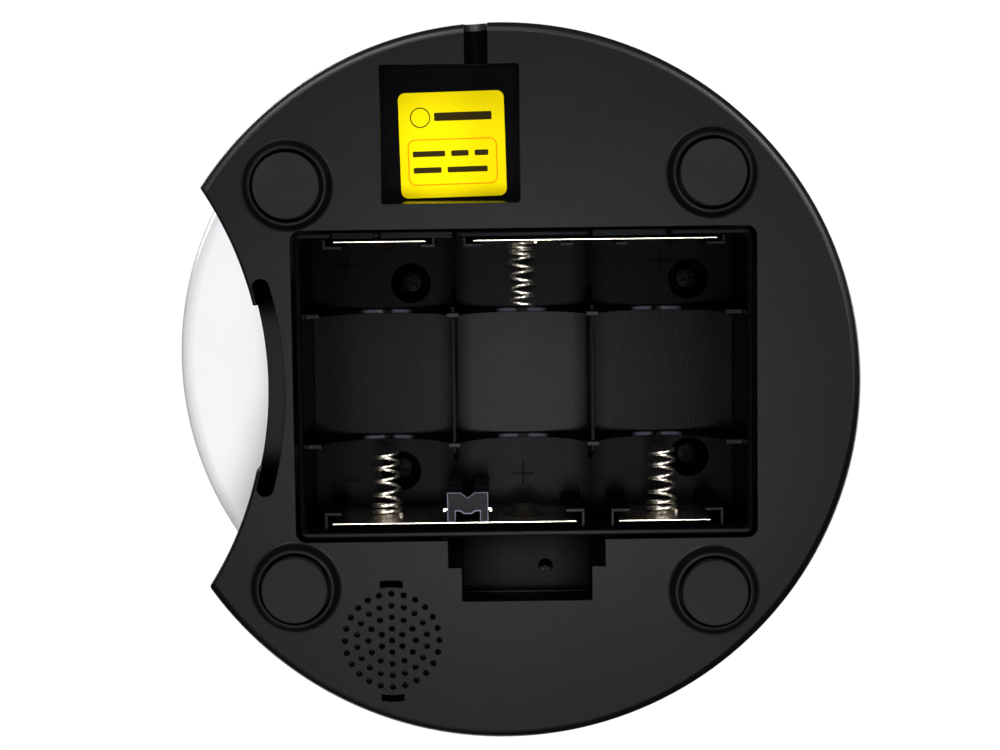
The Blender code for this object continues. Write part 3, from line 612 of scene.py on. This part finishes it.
WHITE = moulded("white_moulding", "white_plastic", (0.68, 0.68, 0.70), 0.3, 0.05, 0.6, 0.012, soften=0.3)
WHITE_INNER = moulded("white_inner_moulding", "white_plastic", (0.68, 0.68, 0.70), 0.4, 0.05, 0.6, 0.02)
GLOSS = moulded(
    "gloss_black_panel", "black_gloss", (0.006, 0.006, 0.007), 0.12, 0.02, 2.0,
    soften=0.3, coat=0.6,
)
GREY_RUBBER = moulded(
    "grey_elastomer", "grey_rubber", (0.22, 0.22, 0.23), 0.62, 0.25, 0.4, 0.08,
    soften=0.2,
)
NICKEL = metal("nickel_plate", "nickel", (0.50, 0.45, 0.37), 0.24, (1.0, 0.25, 1.0), scratch=0.3)
SPRING_WIRE = metal("spring_wire", "nickel", (0.86, 0.81, 0.72), 0.27, scratch=0.1)
STEEL = metal("zinc_steel", "steel", (0.42, 0.42, 0.43), 0.32, (1.0, 0.2, 1.0))
# The screws' steel: black oxide, darkened further as painted shade at the bottom of their wells
DARK_STEEL = metal("black_oxide_and_shade_steel", "steel", (0.0006, 0.0006, 0.0007), 0.3, (1.0, 0.2, 1.0))
# The speaker basket's steel: black paint, darkened further as painted shade behind the grille's holes
BLACK_PAINT_AND_SHADE_STEEL = moulded("black_paint_and_shade_steel", "steel", (0.004, 0.004, 0.004), 0.6, 0.1, 0.5, specular=0.05)
GEAR = moulded("acetal", "gear_plastic", (0.74, 0.73, 0.68), 0.42, 0.08, 0.4, 0.04)
BOARD = moulded("solder_mask", "board", (0.016, 0.12, 0.045), 0.4, 0.15, 0.8, 0.15)
PAPER = moulded("pressed_paper", "paper_cone", (0.012, 0.012, 0.012), 0.92, 0.8, 0.25, 0.2)
LABEL = moulded("label_film", "label", (0.97, 0.78, 0.001), 0.6, 0.05, 0.5, 0.015, specular=0.02)
INK = {"roughness": 0.6, "grain": 0.05, "grain_size": 0.2, "specular": 0.02}
INK_BLACK = moulded("label_ink_black", "label", (0.03, 0.022, 0.004), tint=0.1, **INK)
INK_ORANGE = moulded("label_ink_orange", "label", (0.9, 0.30, 0.002), tint=0.05, **INK)
SMOKE = clear_plastic("smoke_hopper", "smoke_plastic", (0.34, 0.35, 0.37), 0.08, 0.92)
GLASS = clear_plastic("display_glass", "glass", (0.02, 0.02, 0.03), 0.05, 0.35)


# ---- the underside


def base_skin():
    """The base's outside, with a round lower edge and a broken upper edge."""
    fillet, bite_share, edge, count = 2.2, 0.4, 0.35, 6
    loops = []
    for i in range(count + 1):
        turn = math.radians(90 * i / count)
        outline = bitten(fillet * (1 - math.sin(turn)), bite_share)
        loops.append((outline, BASE_FACE + fillet * (1 - math.cos(turn))))
    return lofted([*loops, (bitten(), BASE_TOP - edge), (bitten(edge), BASE_TOP)])


def foot_ring(place):
    """A raised ring with a leaning outer wall, a soft foot and a rounded crest."""
    corners = [
        (12.1, 6.6, 0), (12.1, BASE_FACE + 0.02, 0), (11.85, BASE_FACE - 0.1, 0.05),
        (11.5, BASE_FACE - 0.4, 0.25), (10.25, 2.3, 0.45), (FOOT_BORE, 2.3, 0.25),
        (FOOT_BORE, 6.6, 0),
    ]
    return turned(curve_profile(corners), 96, place, closed=True)


def grille_cutters():
    """One hole in the middle, then rings of 6, 12, 18 and 24 holes, and a curved slot at each side."""
    pitch, hole = 3.08, 0.76
    low, high = BASE_FACE - 1, BASE_FACE + 4
    shapes = [prism(circle(hole, SPEAKER, 20), low, high)]
    for ring in range(1, 5):
        out = ring * pitch
        for i in range(6 * ring):
            turn = math.radians(60 * i / ring)
            place = (SPEAKER.x + out * math.cos(turn), SPEAKER.y + out * math.sin(turn))
            shapes.append(prism(circle(hole, place, 20), low, high))
    for facing, inner in ((0, 14.05), (180, 14.5)):
        shapes.append(prism(arc_strip(inner, inner + 1.75, 2.95, SPEAKER, facing, 8), low, high))
    return merged(shapes)


def latch_cutters():
    """The stepped recess beside the bay: a wide part, and a narrow one that runs further and deeper."""
    inner, half, wide_width, wide_edge = TUB_LOW.x + 0.2, 16.9, 40.8, -47.5
    narrow = rounded((LATCH_EDGE, LATCH_Y - half), (inner, LATCH_Y + half), 0.35, 3)
    wide = [(wide_edge, 4.3), (wide_edge, 9.5), (inner, 16.5), (inner, 4.3)]
    return [(CUT, prism(narrow, 4.4, LATCH_TOP)), (CUT, side_plate(wide, LATCH_Y, wide_width))]


DIMPLE = [(0, 18.2), (1.9, 18.2), (1.9, 18.5), (1.6, 18.9), (1.1, 19.2), (0.5, 19.35), (0, 19.4)]


def bite_slot():
    """The T-slot behind the bite's wall: walls round it, then its long part, its ends and its mouth."""
    half, end, top, bottom = 26.0, 2.2, 17.5, 4.5
    mouth_half, wall = 21.4, 1.9
    inner = BITE_RADIUS + 1.1
    outer = inner + 2 * end
    end_y = BITE_CENTRE + math.sqrt((inner + end) ** 2 - half**2)
    walls = arc_strip(BITE_RADIUS + 1, outer + wall, half + 2 * wall)
    mouth = arc_strip(BITE_RADIUS - 3, inner + 1, mouth_half)
    return (
        (JOIN, prism(walls, BASE_FACE + 1, BASE_TOP - 0.5)),
        (CUT, prism(arc_strip(inner, outer, half), bottom, top)),
        (CUT, pegs([(-half, end_y), (half, end_y)], end, 4, top, 24)),
        (CUT, prism(mouth, 4.4, top)),
    )


def base_cover():
    """The round moulding that the feeder stands on."""
    wall, below, edge = 1.5, 6.5, 0.8
    bay = rounded((-TUB_HIGH.x - edge, TUB_LOW.y - edge), (TUB_HIGH.x + edge, TUB_HIGH.y + edge), 2.6)
    groove_y, groove_half = -5.6, 2.95
    groove = circle(groove_half, (groove_y, 8.5), 24, 0, 180)
    groove = [(groove_y + groove_half, 4.0), *groove, (groove_y - groove_half, 4.0)]
    well_floor = rounded((WELL_LOW[0] + 0.7, WELL_LOW[1]), WELL_HIGH, 0.7, 4)
    well_low = (WELL_LOW[0] - wall, WELL_LOW[1] - wall, below)
    well_high = (WELL_HIGH[0] + wall, WELL_HIGH[1] + wall, 29)
    inlet = block((JACK_X - 4, WELL_HIGH[1] - 1, 10), (JACK_X + 4, WELL_HIGH[1] + 2.5, 19))
    groove_walls = block((WELL_HIGH[0], -10.2, below), (91.0, -1.0, 13.2))
    latch_walls = block((-58.2, -16.2, below), (TUB_LOW.x - 0.4, 27.9, 20.0))
    slot_walls, *slot_cuts = bite_slot()
    steps = [
        (CUT, prism(bitten(COVER_WALL), BASE_FACE + COVER_WALL, BASE_TOP + 1)),
        slot_walls,
        (JOIN, block(well_low, well_high)),
        (JOIN, groove_walls),
        (JOIN, latch_walls),
        (JOIN, merged([foot_ring(place) for place in FEET.values()])),
        (CUT, pegs(FEET.values(), FOOT_BORE, 1, BASE_FACE + 1.6, 96)),
        *slot_cuts,
        (CUT, prism(bay, 4.2, 8.5)),
        (CUT, lofted([(rounded(WELL_LOW, WELL_HIGH, 0.7, 4), 4.1), (well_floor, WELL_TOP)])),
        (CUT, inlet),
        (CUT, along_x(groove, 80, 96)),
        *latch_cutters(),
        (CUT, turned(DIMPLE, 48, (-49.5, 10.9))),
        (CUT, grille_cutters()),
    ]
    piece("base_cover_shell", base_skin(), BLACK, ["base_cover"], steps=steps)


def foot_pads():
    corners = [(0, 0, 0), (8.45, 0, 0.45), (8.45, 5.2, 0.2), (0, 5.2, 0)]
    for name, place in FEET.items():
        disc = turned(curve_profile(corners), 96, place)
        piece(f"foot_disc_{name}", disc, RUBBER, [f"foot_pad_{name}"])


def saddle_rib(x):
    """The rib that the cells lie on: an arc under each cell and an upright end between neighbours."""
    radius, top, half_thick = 17.6, RIB_TOP, 0.6
    half = radius - 0.75
    start = math.degrees(math.acos(half / radius))
    points = []
    for row in ROWS:
        points.append((row - half, top))
        points += circle(radius, (row, CELL_AXIS), 40, 180 - start, -180 + 2 * start)
        points.append((row + half, top))
    near, far, foot = BAY_LOW.y - 0.5, BAY_HIGH.y + 0.5, FLOOR + 1
    points += [(far, top), (far, foot), (near, foot), (near, top)]
    return along_x(points, x - half_thick, x + half_thick)


def bracket(foot, low, high, leg=0):
    """A hook for a contact plate: a foot along Y at X = foot, and a leg to the wall at one end."""
    side = math.copysign(1, foot)
    near, far = sorted((foot, foot + side * 0.75))
    shapes = [(JOIN, block((near, low, HOOK_TOP), (far, high, FLOOR + 0.6)))]
    if leg:
        near, far = sorted((foot + side * 0.1, side * (BAY_HIGH.x + 0.4)))
        low, high = (low, low + 0.7) if leg < 0 else (high - 0.7, high)
        shapes.append((JOIN, block((near, low, HOOK_TOP + 0.1), (far, high, FLOOR + 0.7))))
    return shapes


def polarity_mark(x, y, length, plus=True):
    """A raised plus or minus on the bay's floor."""
    half, width, top, foot = length / 2, 0.16, FLOOR - 0.14, FLOOR + 0.5
    shapes = [(JOIN, block((x - width, y - half, top), (x + width, y + half, foot)))]
    if plus:
        shapes.append((JOIN, block((x - half, y - width, top - 0.01), (x + half, y + width, foot))))
    return shapes


def battery_box():
    outer = rounded(TUB_LOW, TUB_HIGH, 2.2)
    edge = 0.35
    inset = grown(TUB_LOW, TUB_HIGH, -edge, 1.85)
    rim = TUB_LOW.z
    body = lofted([(inset, rim), (outer, rim + edge), (outer, 46)])
    inner = rounded(BAY_LOW, BAY_HIGH, 1.5)
    flare = grown(BAY_LOW, BAY_HIGH, edge, 1.85)
    bowl = lofted([(flare, rim - 1), (flare, rim), (inner, rim + edge), (inner, FLOOR)])
    steps = [(JOIN, pegs(SCREWS, 7.2, 45, 56, 48)), (CUT, bowl)]
    # Notches in one wall's rim: where each begins and ends, and how far its two sides lean
    notches = ((-43.9, -32.4, 0.3, 0.3), (-31.3, -10.2, 0.3, 2.1), (22.05, 44.85, 1.8, 1.9))
    for low, high, low_lean, high_lean in notches:
        near = [(low - low_lean, rim - 1), (low + low_lean, rim + 1), (low + low_lean, rim + 4.5)]
        far = [(high - high_lean, rim + 4.5), (high - high_lean, rim + 1), (high + high_lean, rim - 1)]
        steps.append((CUT, along_x(near + far, BAY_HIGH.x - 1, TUB_HIGH.x + 1)))
    steps += [(JOIN, saddle_rib(x)) for x in (-RIB_X, RIB_X)]
    base = FLOOR + 0.8
    web = [(-19.6, 22.2), (-19.6, 24), (-24.2, base), (23.4, base), (19.4, 24), (19.4, 22.2)]
    for y in DIVIDERS:
        steps.append((JOIN, side_plate(web, y, 1.0)))
        for x in (-RIB_X, RIB_X):
            steps.append((JOIN, block((x - 0.55, y - 1.6, 20.7), (x + 0.55, y + 1.6, 26))))
    # Each hook's foot, its two ends and the end that its leg is at
    hooks = [
        (35.3, -46.1, -41.3, -1), (35.6, -20.5, -17.0, 1), (35.6, -9.6, -4.8, -1),
        (35.6, 15.5, 18.8), (35.6, 30.0, 33.0), (35.5, 53.5, 58.3, 1), (-33.7, -46.9, -42.5, -1),
        (-33.4, 16.3, 21.2, 1), (-33.5, 28.2, 33.2, -1), (-33.5, 52.8, 57.6, 1),
    ]
    for hook in hooks:
        steps += bracket(*hook)
    for low, high in ((15.6, 22.2), (28.3, 33.4), (52.7, 58.0)):
        steps.append((JOIN, block((-38.5, low, 43.3), (-33.6, high, FLOOR + 0.9))))
    steps += [
        (JOIN, retainer()),
        (CUT, pegs(SCREWS, 5.4, 38, WELL_FLOOR, 64)),
        (CUT, pegs(SCREWS, 1.9, 53, 58, 32)),
    ]
    for mark in ((30, -42, 6), (30.3, 43.6, 6), (-28.1, 5.5, 6), (-29.5, -41.9, 4.4, False)):
        steps += polarity_mark(*mark)
    piece("battery_tub", body, TUB_BLACK, ["battery_box"], steps=steps)


def retainer():
    """The notched plastic block that the long contact plate clips behind, with its two feet."""
    y = RETAINER_Y
    front, back = -28.7, -33.7
    half = [(back - 2.9, 5.4), (back - 2.9, 3.2), (back, 3.2), (back, 2.0), (back - 0.7, 1.0)]
    edge = [(front, 5.4), (front, 1.8), (front - 1.4, 0.0)]
    outline = [(x, y + v) for x, v in edge]
    outline += [(x, y - v) for x, v in reversed(edge[:-1])]
    outline += [(x, y - v) for x, v in half]
    outline += [(x, y + v) for x, v in reversed(half)]
    return chamfered(prism(outline, HOOK_TOP, FLOOR + 1), HOOK_TOP, 0.3)


DOME = [(0, 2.7), (2.0, 2.6), (2.7, 2.2), (3.3, 1.6), (5.6, 0.5), (6.5, 0.0), (6.5, -0.2), (0, -0.2)]


def contact_plate(name, node, side, bumps, ears=()):
    """A pressed plate with softened edges, a stepped dome for each positive end, and small bent ears."""
    low, high = span(node)
    face = 37.0 if side > 0 else -36.5
    inner, outer = sorted((face, face + side * 0.38))
    body = block((inner, low.y, low.z), (outer, high.y, high.z), 0.1)
    steps = [(JOIN, laid_over(turned(DOME, 64), (face, row, CELL_AXIS), -side, "Y")) for row in bumps]
    for y in ears:
        inward = math.copysign(1.5, RETAINER_Y - y)
        across = sorted((y, y + inward))
        along = sorted((side * 33.0, face + side * 0.2))
        lane = sorted((y + inward * 0.7, y + inward))
        steps += [
            (JOIN, block((-33.7, y - 0.2, 12.2), (-32.9, y + 0.2, 15.2))),
            (JOIN, block((-33.5, across[0], 13.2), (-33.0, across[1], 14.9))),
            (JOIN, block((along[0], lane[0], 13.3), (along[1], lane[1], 14.8))),
        ]
    piece(name, body, NICKEL, [node], steps=steps)


def contact_plates():
    first, second, third = ROWS
    contact_plate("plate_positive", "contact_plate_positive", 1, [first])
    contact_plate("plate_link_right", "contact_plate_link_right", 1, [third])
    contact_plate("plate_link_left", "contact_plate_link_left", -1, [second], ears=(-15.5, -3.4))
    contact_plate("plate_negative", "contact_plate_negative", -1, [])


def contact_spring(number, side):
    """A slightly conical coil of round wire: closed turns at the plate, then open ones to the cell."""
    closed_turns, open_turns, wire, steps = 2, 4, 0.46, 40
    node = f"contact_spring_{number}"
    low, high = span(node)
    total = closed_turns + open_turns
    count = total * steps
    length = high.x - low.x - 2 * wire + 0.5
    plate_end = high.x - wire if side > 0 else low.x + wire
    closed_length = closed_turns * 1.7
    curve = bpy.data.curves.new(f"coil_{number}", "CURVE")
    curve.dimensions = "3D"
    curve.bevel_depth = wire * MM
    curve.bevel_resolution = 5
    curve.use_fill_caps = True
    spline = curve.splines.new("POLY")
    spline.points.add(count)
    for i in range(count + 1):
        turn = i / steps
        if turn <= closed_turns:
            reach = closed_length * turn / closed_turns
        else:
            left = 1 - (turn - closed_turns) / open_turns
            reach = length - (length - closed_length) * left**1.15
        radius = 3.7 - 0.6 * turn / total
        angle = 2 * math.pi * turn
        y = ROWS[number - 1] + radius * math.cos(angle)
        z = CELL_AXIS + radius * math.sin(angle)
        spline.points[i].co = ((plate_end - side * reach) * MM, y * MM, z * MM, 1)
    made = linked(bpy.data.objects.new(f"coil_{number}", curve))
    curve.materials.append(SPRING_WIRE)
    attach(made, "root")
    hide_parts(node)


SCREW = [(0, 50.6, 0), (3.4, 50.7, 0.8), (3.4, 53.7, 0.2), (1.5, 53.7, 0), (1.5, 67.5, 0), (0, 69, 0)]


def screws():
    """Pan-head screws at the bottom of their wells, each with its cross turned another way."""
    for number, place in enumerate(SCREWS, 1):
        cross = []
        for turn in (35 * number, 35 * number + 90):
            slot = block((-2.1, -0.45, 50), (2.1, 0.45, 52.2))
            cross.append((CUT, moved(slot, (place.x, place.y, 0), turn)))
        screw = turned(curve_profile(SCREW), 48, place)
        piece(f"pan_screw_{number}", screw, DARK_STEEL, [f"base_screw_{number}"], steps=cross)


def supply_label():
    """A yellow film with an orange frame and plain bars for print, turned a little in its well."""
    centre = (LABEL_LOW + LABEL_HIGH) / 2 - Vector((0.5, 0, 0))
    half = (LABEL_HIGH - LABEL_LOW) / 2 - Vector((0.22, 0.7, 0))
    face = LABEL_LOW.z + 0.04

    def laid(outline, low, high):
        return moved(prism(outline, low, high), (centre.x, centre.y, 0), -1.2)

    def printed(outline):
        return laid(outline, face - 0.03, face + 0.02)

    def ring(name, outer, inner, ink):
        piece(name, printed(outer), ink, steps=[(CUT, laid(inner, face - 1, face + 1))])

    film = laid(rounded((-half.x, -half.y), (half.x, half.y), 1.9, 8), face, LABEL_HIGH.z)
    hidden_from(piece("label_film", film, LABEL, ["supply_label"]), "diffuse")
    line = 0.32
    low, high = (-10.6, -11.9), (1.6, 11.8)
    ring("label_frame", rounded(low, high, 2.0, 8), grown(low, high, -line, 1.7, 8), INK_ORANGE)
    mark = (7.3, -8.3)
    ring("label_ring", circle(2.7, mark, 48), circle(2.4, mark, 48), INK_BLACK)
    # Each row's place, half its width, where it starts and the lengths of its bars
    heading = (7.4, 1.1, -4.6, (15.2,))
    lines = ((-2.3, 0.75, -10.6, (8.6, 4.6, 3.6)), (-6.6, 0.75, -10.5, (7.4, 10.6)))
    words = []
    for x, width, start, lengths in (heading, *lines):
        for length in lengths:
            words.append(printed(rounded((x - width, start), (x + width, start + length), 0.3, 3)))
            start += length + 1.6
    piece("label_words", merged(words), INK_BLACK)


def dc_jack():
    low, high = span("dc_jack")
    x, z = JACK_X, 14.5
    face = WELL_HIGH[1] + 1.8

    def lying(radius, start, length, steps=48):
        return laid_over(prism(circle(radius, (0, 0), steps), 0, length), (x, start, z), -1, "X")

    steps = [
        (JOIN, lying(3.7, low.y, 2.6)),
        (CUT, lying(2.8, low.y - 1, 12)),
        (JOIN, lying(0.9, face + 1, 10, 24)),
    ]
    body = block((low.x, face, z - 5), (high.x, high.y, high.z), 0.3)
    piece("inlet_jack", body, GLOSS, ["dc_jack"], steps=steps)


# ---- the body


def deck_openings(low, high):
    """The chute's opening, the shaft's hole and the cable slot, through a level wall."""
    chute = block((-21.1, -54.4, low), (21.1, -24.8, high))
    shaft = prism(circle(5, (0, 0), 48), low, high)
    cables = block((-22, 60, low), (22, 66, high))
    return [(CUT, chute), (CUT, shaft), (CUT, cables)]


def front_outline(name, gap, corner):
    """A node's outline as seen from the front, grown by a gap and with round corners."""
    low, high = span(name)
    return grown((low.x, low.z), (high.x, high.z), gap, corner)


def lower_housing():
    low, high = span("lower_housing")
    below, above = 0.35, 0.5
    lower = [(bitten(below), low.z), (bitten(), low.z + below)]
    loops = [*lower, (bitten(), high.z - above), (bitten(above), high.z)]
    deck = high.z - COVER_WALL
    steps = [
        (CUT, prism(bitten(COVER_WALL), low.z - 1, deck)),
        (CUT, side_plate(rounded((-19.4, 51), (19.4, 81.5), 2.0), -62.1, 7.8)),
        *deck_openings(deck - 1, high.z + 1),
    ]
    piece("lower_body_shell", lofted(loops), BODY_BLACK, ["lower_housing"], steps=steps)


def upper_housing():
    top = span("upper_housing")[1].z
    profile = curve_profile(
        [
            (0, 92.3, 0), (92.6, 92.3, 1.2), (95.0, 94.4, 1.5), (96.6, 102, 4), (97.3, 112, 5),
            (96.6, top, 0.5), (94.1, top, 0.3), (94.8, 113, 4), (94.2, 103, 3), (92.4, 97, 1.5),
            (90.5, 94.8, 1), (0, 94.8, 0),
        ]
    )
    panel = side_plate(front_outline("control_fascia", 0.3, 3), PANEL_FACE - 2, 14)
    steps = [*deck_openings(91, 97), (CUT, panel)]
    piece("upper_body_shell", turned(profile, 160), WHITE, ["upper_housing"], steps=steps)


def control_panel():
    """The glossy fascia, its window, and four caps that stand in their own openings."""
    low, high = span("control_fascia")
    inner = rounded((low.x - 8, low.z + 2), (high.x + 8, high.z - 2), 1.5)
    openings = [circle(5.35, (place.x, place.z), 64) for place in BUTTONS.values()]
    openings += [front_outline("display_window", 0.3, 1.5), circle(0.6, (0, 131.5), 20)]
    steps = [
        ("INTERSECT", prism(circle(96.7, (0, 0), 256), low.z - 5, high.z + 5)),
        (CUT, side_plate(inner, PANEL_FACE - 10, 20)),
        *[(CUT, side_plate(opening, PANEL_FACE, 24)) for opening in openings],
    ]
    body = side_plate(front_outline("control_fascia", 0, 2.8), PANEL_FACE - 3.5, 11)
    piece("panel_bezel", body, GLOSS, ["control_fascia"], steps=steps)
    near, far = span("display_window")
    glass = side_plate(front_outline("display_window", 0, 1.3), (near.y + far.y) / 2, far.y - near.y)
    piece("panel_glass", glass, GLASS, ["display_window"], bevel=0.2)
    for number, place in BUTTONS.items():
        node = f"panel_button_{number}"
        near, far = span(node)
        depth = far.y - near.y
        face = [(0, 0.35, 0), (2.6, 0.2, 1.2), (4.6, 0, 0.6), (5, 0.5, 0.3)]
        profile = curve_profile([*face, (5, depth, 0), (0, depth, 0)])
        cap = laid_over(turned(profile, 64), (place.x, near.y, place.z), -1, "X")
        piece(f"button_cap_{number}", cap, WHITE, [node], f"button_{number}")


def hopper():
    low, high = span("hopper")
    outer = [
        (0, low.z, 0), (58, low.z, 2), (58, 150, 6), (80, 193, 5), (93.3, 211, 1.5),
        (93.3, 215.3, 0), (96.6, 215.3, 0.4), (96.6, high.z, 0.3),
    ]
    inner = [(94.2, high.z, 0.3), (94.2, 219, 1.5), (91.2, 212, 2), (78, 194.2, 5), (55.7, 150.9, 6)]
    inner += [(55.7, low.z + 2.3, 2), (0, low.z + 2.3, 0)]
    steps = [
        (CUT, block((-17, -50, low.z - 1), (17, -29, low.z + 3.3))),
        (CUT, prism(circle(5, (0, 0), 48), low.z - 1, low.z + 3.3)),
    ]
    piece("hopper_bowl", turned(curve_profile(outer + inner), 160), SMOKE, ["hopper"], steps=steps)


def knuckle(low, high, radius=KNUCKLE):
    bm = prism(circle(radius, (0, 0), 48), 0, high - low)
    return laid_over(bm, (low, HINGE.y, HINGE.z), 1, "Y")


def collar():
    top = COLLAR_TOP
    corners = [
        (82, top, 0.4), (82, 279, 0.3), (84, 279, 0.3), (84, 282.3, 0), (96.9, 282.3, 0.4),
        (96.9, top - 1.6, 1.4), (95.2, top, 0.8),
    ]
    steps = []
    for low, high in ((-15.5, -8.2), (8.2, 15.5)):
        ear = block((low, HINGE.y - KNUCKLE, top - 1), (high, HINGE.y + 2.8, HINGE.z))
        steps += [(JOIN, ear), (JOIN, knuckle(low, high))]
    catch_guide = block((-5.2, -88.2, 285), (5.2, -84.4, 293))
    steps += [(CUT, knuckle(-20, 20, PIN_HOLE)), (CUT, catch_guide)]
    ring = turned(curve_profile(corners), 160, closed=True)
    piece("collar_ring", ring, WHITE, ["hopper_collar"], steps=steps)


def lid():
    corners = [
        (0, 303, 0), (30, 302.6, 0), (60, 301.0, 6), (80, 298.6, 5), (86, 297.2, 1.1),
        (87, 295.4, 0.6), (87, 293.6, 0.2), (80, 293.6, 0.3), (80, 286, 0.4), (78, 286, 0.4),
        (78, 295.6, 1), (60, 298.6, 4), (30, 300.2, 0), (0, 300.6, 0),
    ]
    groove = [(71.2, 304), (71.2, 299.7), (72.0, 299.5), (72.8, 299.4), (72.8, 304)]
    arm = block((-KNUCKLE_HALF, 83, 294.4), (KNUCKLE_HALF, HINGE.y, 298.2))
    catch_gap = block((-11, -90, 292.6), (11, -80.6, 303))
    steps = [
        (JOIN, arm),
        (JOIN, knuckle(-KNUCKLE_HALF, KNUCKLE_HALF)),
        (CUT, knuckle(-20, 20, PIN_HOLE)),
        (CUT, catch_gap),
        (CUT, turned(groove, 160, closed=True)),
    ]
    piece("lid_cover", turned(curve_profile(corners), 160), WHITE, ["lid"], "lid", steps=steps)


def lid_catch():
    low, high = span("lid_catch")
    body = block((low.x, -87, 294.0), (high.x, high.y, high.z), 0.6)
    steps = [(JOIN, block((-4, -87, low.z), (4, -85.6, 295)))]
    for i in range(5):
        x = (i - 2) * 3.2
        steps.append((CUT, block((x - 0.35, -88, high.z - 0.5), (x + 0.35, -83, high.z + 1))))
    piece("catch_slider", body, GREY_RUBBER, ["lid_catch"], "catch", steps=steps)


def carried_over():
    """Materials for the CAD nodes whose own shape shows, or that sit inside the body."""
    finishes = {
        HIDDEN_BLACK: ["food_chute", "gearbox_housing", "gearbox_cover", "display_module"],
        BLACK_PAINT_AND_SHADE_STEEL: ["speaker_basket"],
        STEEL: ["idler_axle", "output_shaft", "gear_motor", "lid_hinge_pin", "microphone"],
        PAPER: ["speaker_cone"],
        BOARD: ["main_circuit_board", "panel_board"],
        GEAR: ["motor_pinion", "idler_gear", "output_gear"],
        GREY_RUBBER: ["dispensing_rotor", "lid_seal"],
        SMOKE: ["portion_baffle"],
        WHITE_INNER: ["desiccant_holder"],
    }
    for finish, names in finishes.items():
        for name in names:
            dressed(NODES[name], finish)


# ---- stage, lights and camera


def hidden_from(obj, *rays):
    for ray in rays:
        setattr(obj, "visible_" + ray, False)


def staged(name, mesh, *hidden):
    """A stage object that some kinds of ray don't see."""
    made = linked(bpy.data.objects.new(name, mesh))
    hidden_from(made, *hidden)


def floor():
    """A pale floor that shows from above only, so that the underside can be seen from below."""
    made, shader, add, feed = new_material("floor_paper", "none")
    where = add("TexCoord").outputs["Object"]
    shade = add("ValToRGB", [(noise(add, where, 3.0, 2.0), "Fac")])
    ramp(shade, [(0.3, 0.80), (0.7, 0.83)])
    # It glows further out, so that it ends in the same white as the backdrop
    reach = add("VectorMath", [(where, 0)], operation="LENGTH").outputs["Value"]
    limits = {"From Min": 0.35, "From Max": 1.3}
    fade = add("MapRange", [(reach, "Value")], **limits).outputs["Result"]
    links = [(shade.outputs["Color"], "Base Color"), (fade, "Emission Strength")]
    feed(shader, links, **{"Roughness": 0.9, "Emission Color": (1, 1, 1, 1)})
    side = add("NewGeometry").outputs["Backfacing"]
    through = add("BsdfTransparent").outputs["BSDF"]
    mix = add("MixShader", [(side, 0), (shader.outputs["BSDF"], 1), (through, 2)])
    feed(made.node_tree.nodes["Material Output"], [(mix.outputs["Shader"], "Surface")])
    mesh = bpy.data.meshes.new("floor")
    size, level = 6.0, -0.0004
    corners = [(x * size, y * size, level) for x, y in ((-1, -1), (1, -1), (1, 1), (-1, 1))]
    mesh.from_pydata(corners, [], [(0, 1, 2, 3)])
    mesh.materials.append(made)
    staged("floor", mesh, "shadow", "diffuse", "glossy", "transmission")


def backdrop():
    """A white surround that only the camera and see-through parts look at."""
    made, _, add, feed = new_material("backdrop_white", "none")
    glow = add("Emission", Strength=1.02).outputs["Emission"]
    feed(made.node_tree.nodes["Material Output"], [(glow, "Surface")])
    bm = bmesh.new()
    bmesh.ops.create_icosphere(bm, subdivisions=3, radius=9.0)
    mesh = mesh_of("backdrop", bm)
    mesh.materials.append(made)
    staged("backdrop", mesh, "shadow", "diffuse", "glossy")


def world():
    made = bpy.data.worlds.new("studio")
    made.use_nodes = True
    background = made.node_tree.nodes["Background"]
    background.inputs["Color"].default_value = (1.0, 1.0, 1.0, 1.0)
    background.inputs["Strength"].default_value = 0.06
    SCENE.world = made


# Square softboxes: place, height of the point that they face, size and power
LIGHTS = {
    "front_below": ((-0.112, 0.015, -1.0), 0, 0.16, 6.2),
    "key_below": ((0.62, -0.32, -0.72), 0, 0.55, 6.8),
    "right_below": ((0.42, 0.58, -0.75), 0, 0.5, 6.5),
    "low_below": ((-0.6, -0.2, -0.8), 0, 0.5, 3.2),
    "side_below": ((0.05, -0.95, -0.45), 0.08, 0.7, 0.6),
    "key_above": ((0.8, -1.1, 1.3), 0.12, 1.0, 26.0),
    "fill_above": ((-1.2, -0.4, 0.9), 0.12, 1.0, 10.0),
    "back_above": ((-0.3, 1.3, 1.1), 0.15, 1.0, 14.0),
}


def lights():
    for name, (place, aim, size, power) in LIGHTS.items():
        light = bpy.data.lights.new(name, "AREA")
        light.shape = "RECTANGLE"
        light.size = light.size_y = size
        light.energy = power
        lamp = linked(bpy.data.objects.new(name, light))
        lamp.location = place
        ahead = Vector((0, 0, aim)) - Vector(place)
        lamp.rotation_euler = ahead.to_track_quat("-Z", "Y").to_euler()


def camera():
    """Looks up at the underside, tilted a little and turned a little about its own axis."""
    place = Vector((0.05415, -0.0005, -0.5545))
    tilt, roll = math.radians(5.25), math.radians(0.75)
    ahead = Vector((-math.sin(tilt), 0, math.cos(tilt)))
    level_up = Vector((math.cos(tilt), 0, math.sin(tilt)))
    up = math.cos(roll) * level_up + math.sin(roll) * Vector((0, 1, 0))
    right = ahead.cross(up)
    lens = bpy.data.cameras.new("camera")
    lens.sensor_width = 36.0
    lens.lens = 78.6
    lens.clip_start = 0.01
    eye = linked(bpy.data.objects.new("camera", lens))
    turn = Matrix((right, up, -ahead)).transposed().to_4x4()
    eye.matrix_world = Matrix.Translation(place) @ turn
    SCENE.camera = eye


def main():
    camera()
    world()
    floor()
    backdrop()
    lights()
    base_cover()
    foot_pads()
    battery_box()
    contact_plates()
    for number, side in ((1, -1), (2, 1), (3, -1)):
        contact_spring(number, side)
    screws()
    supply_label()
    dc_jack()
    lower_housing()
    upper_housing()
    control_panel()
    hopper()
    collar()
    lid()
    lid_catch()
    carried_over()
    SCENE.view_settings.view_transform = "Standard"


main()
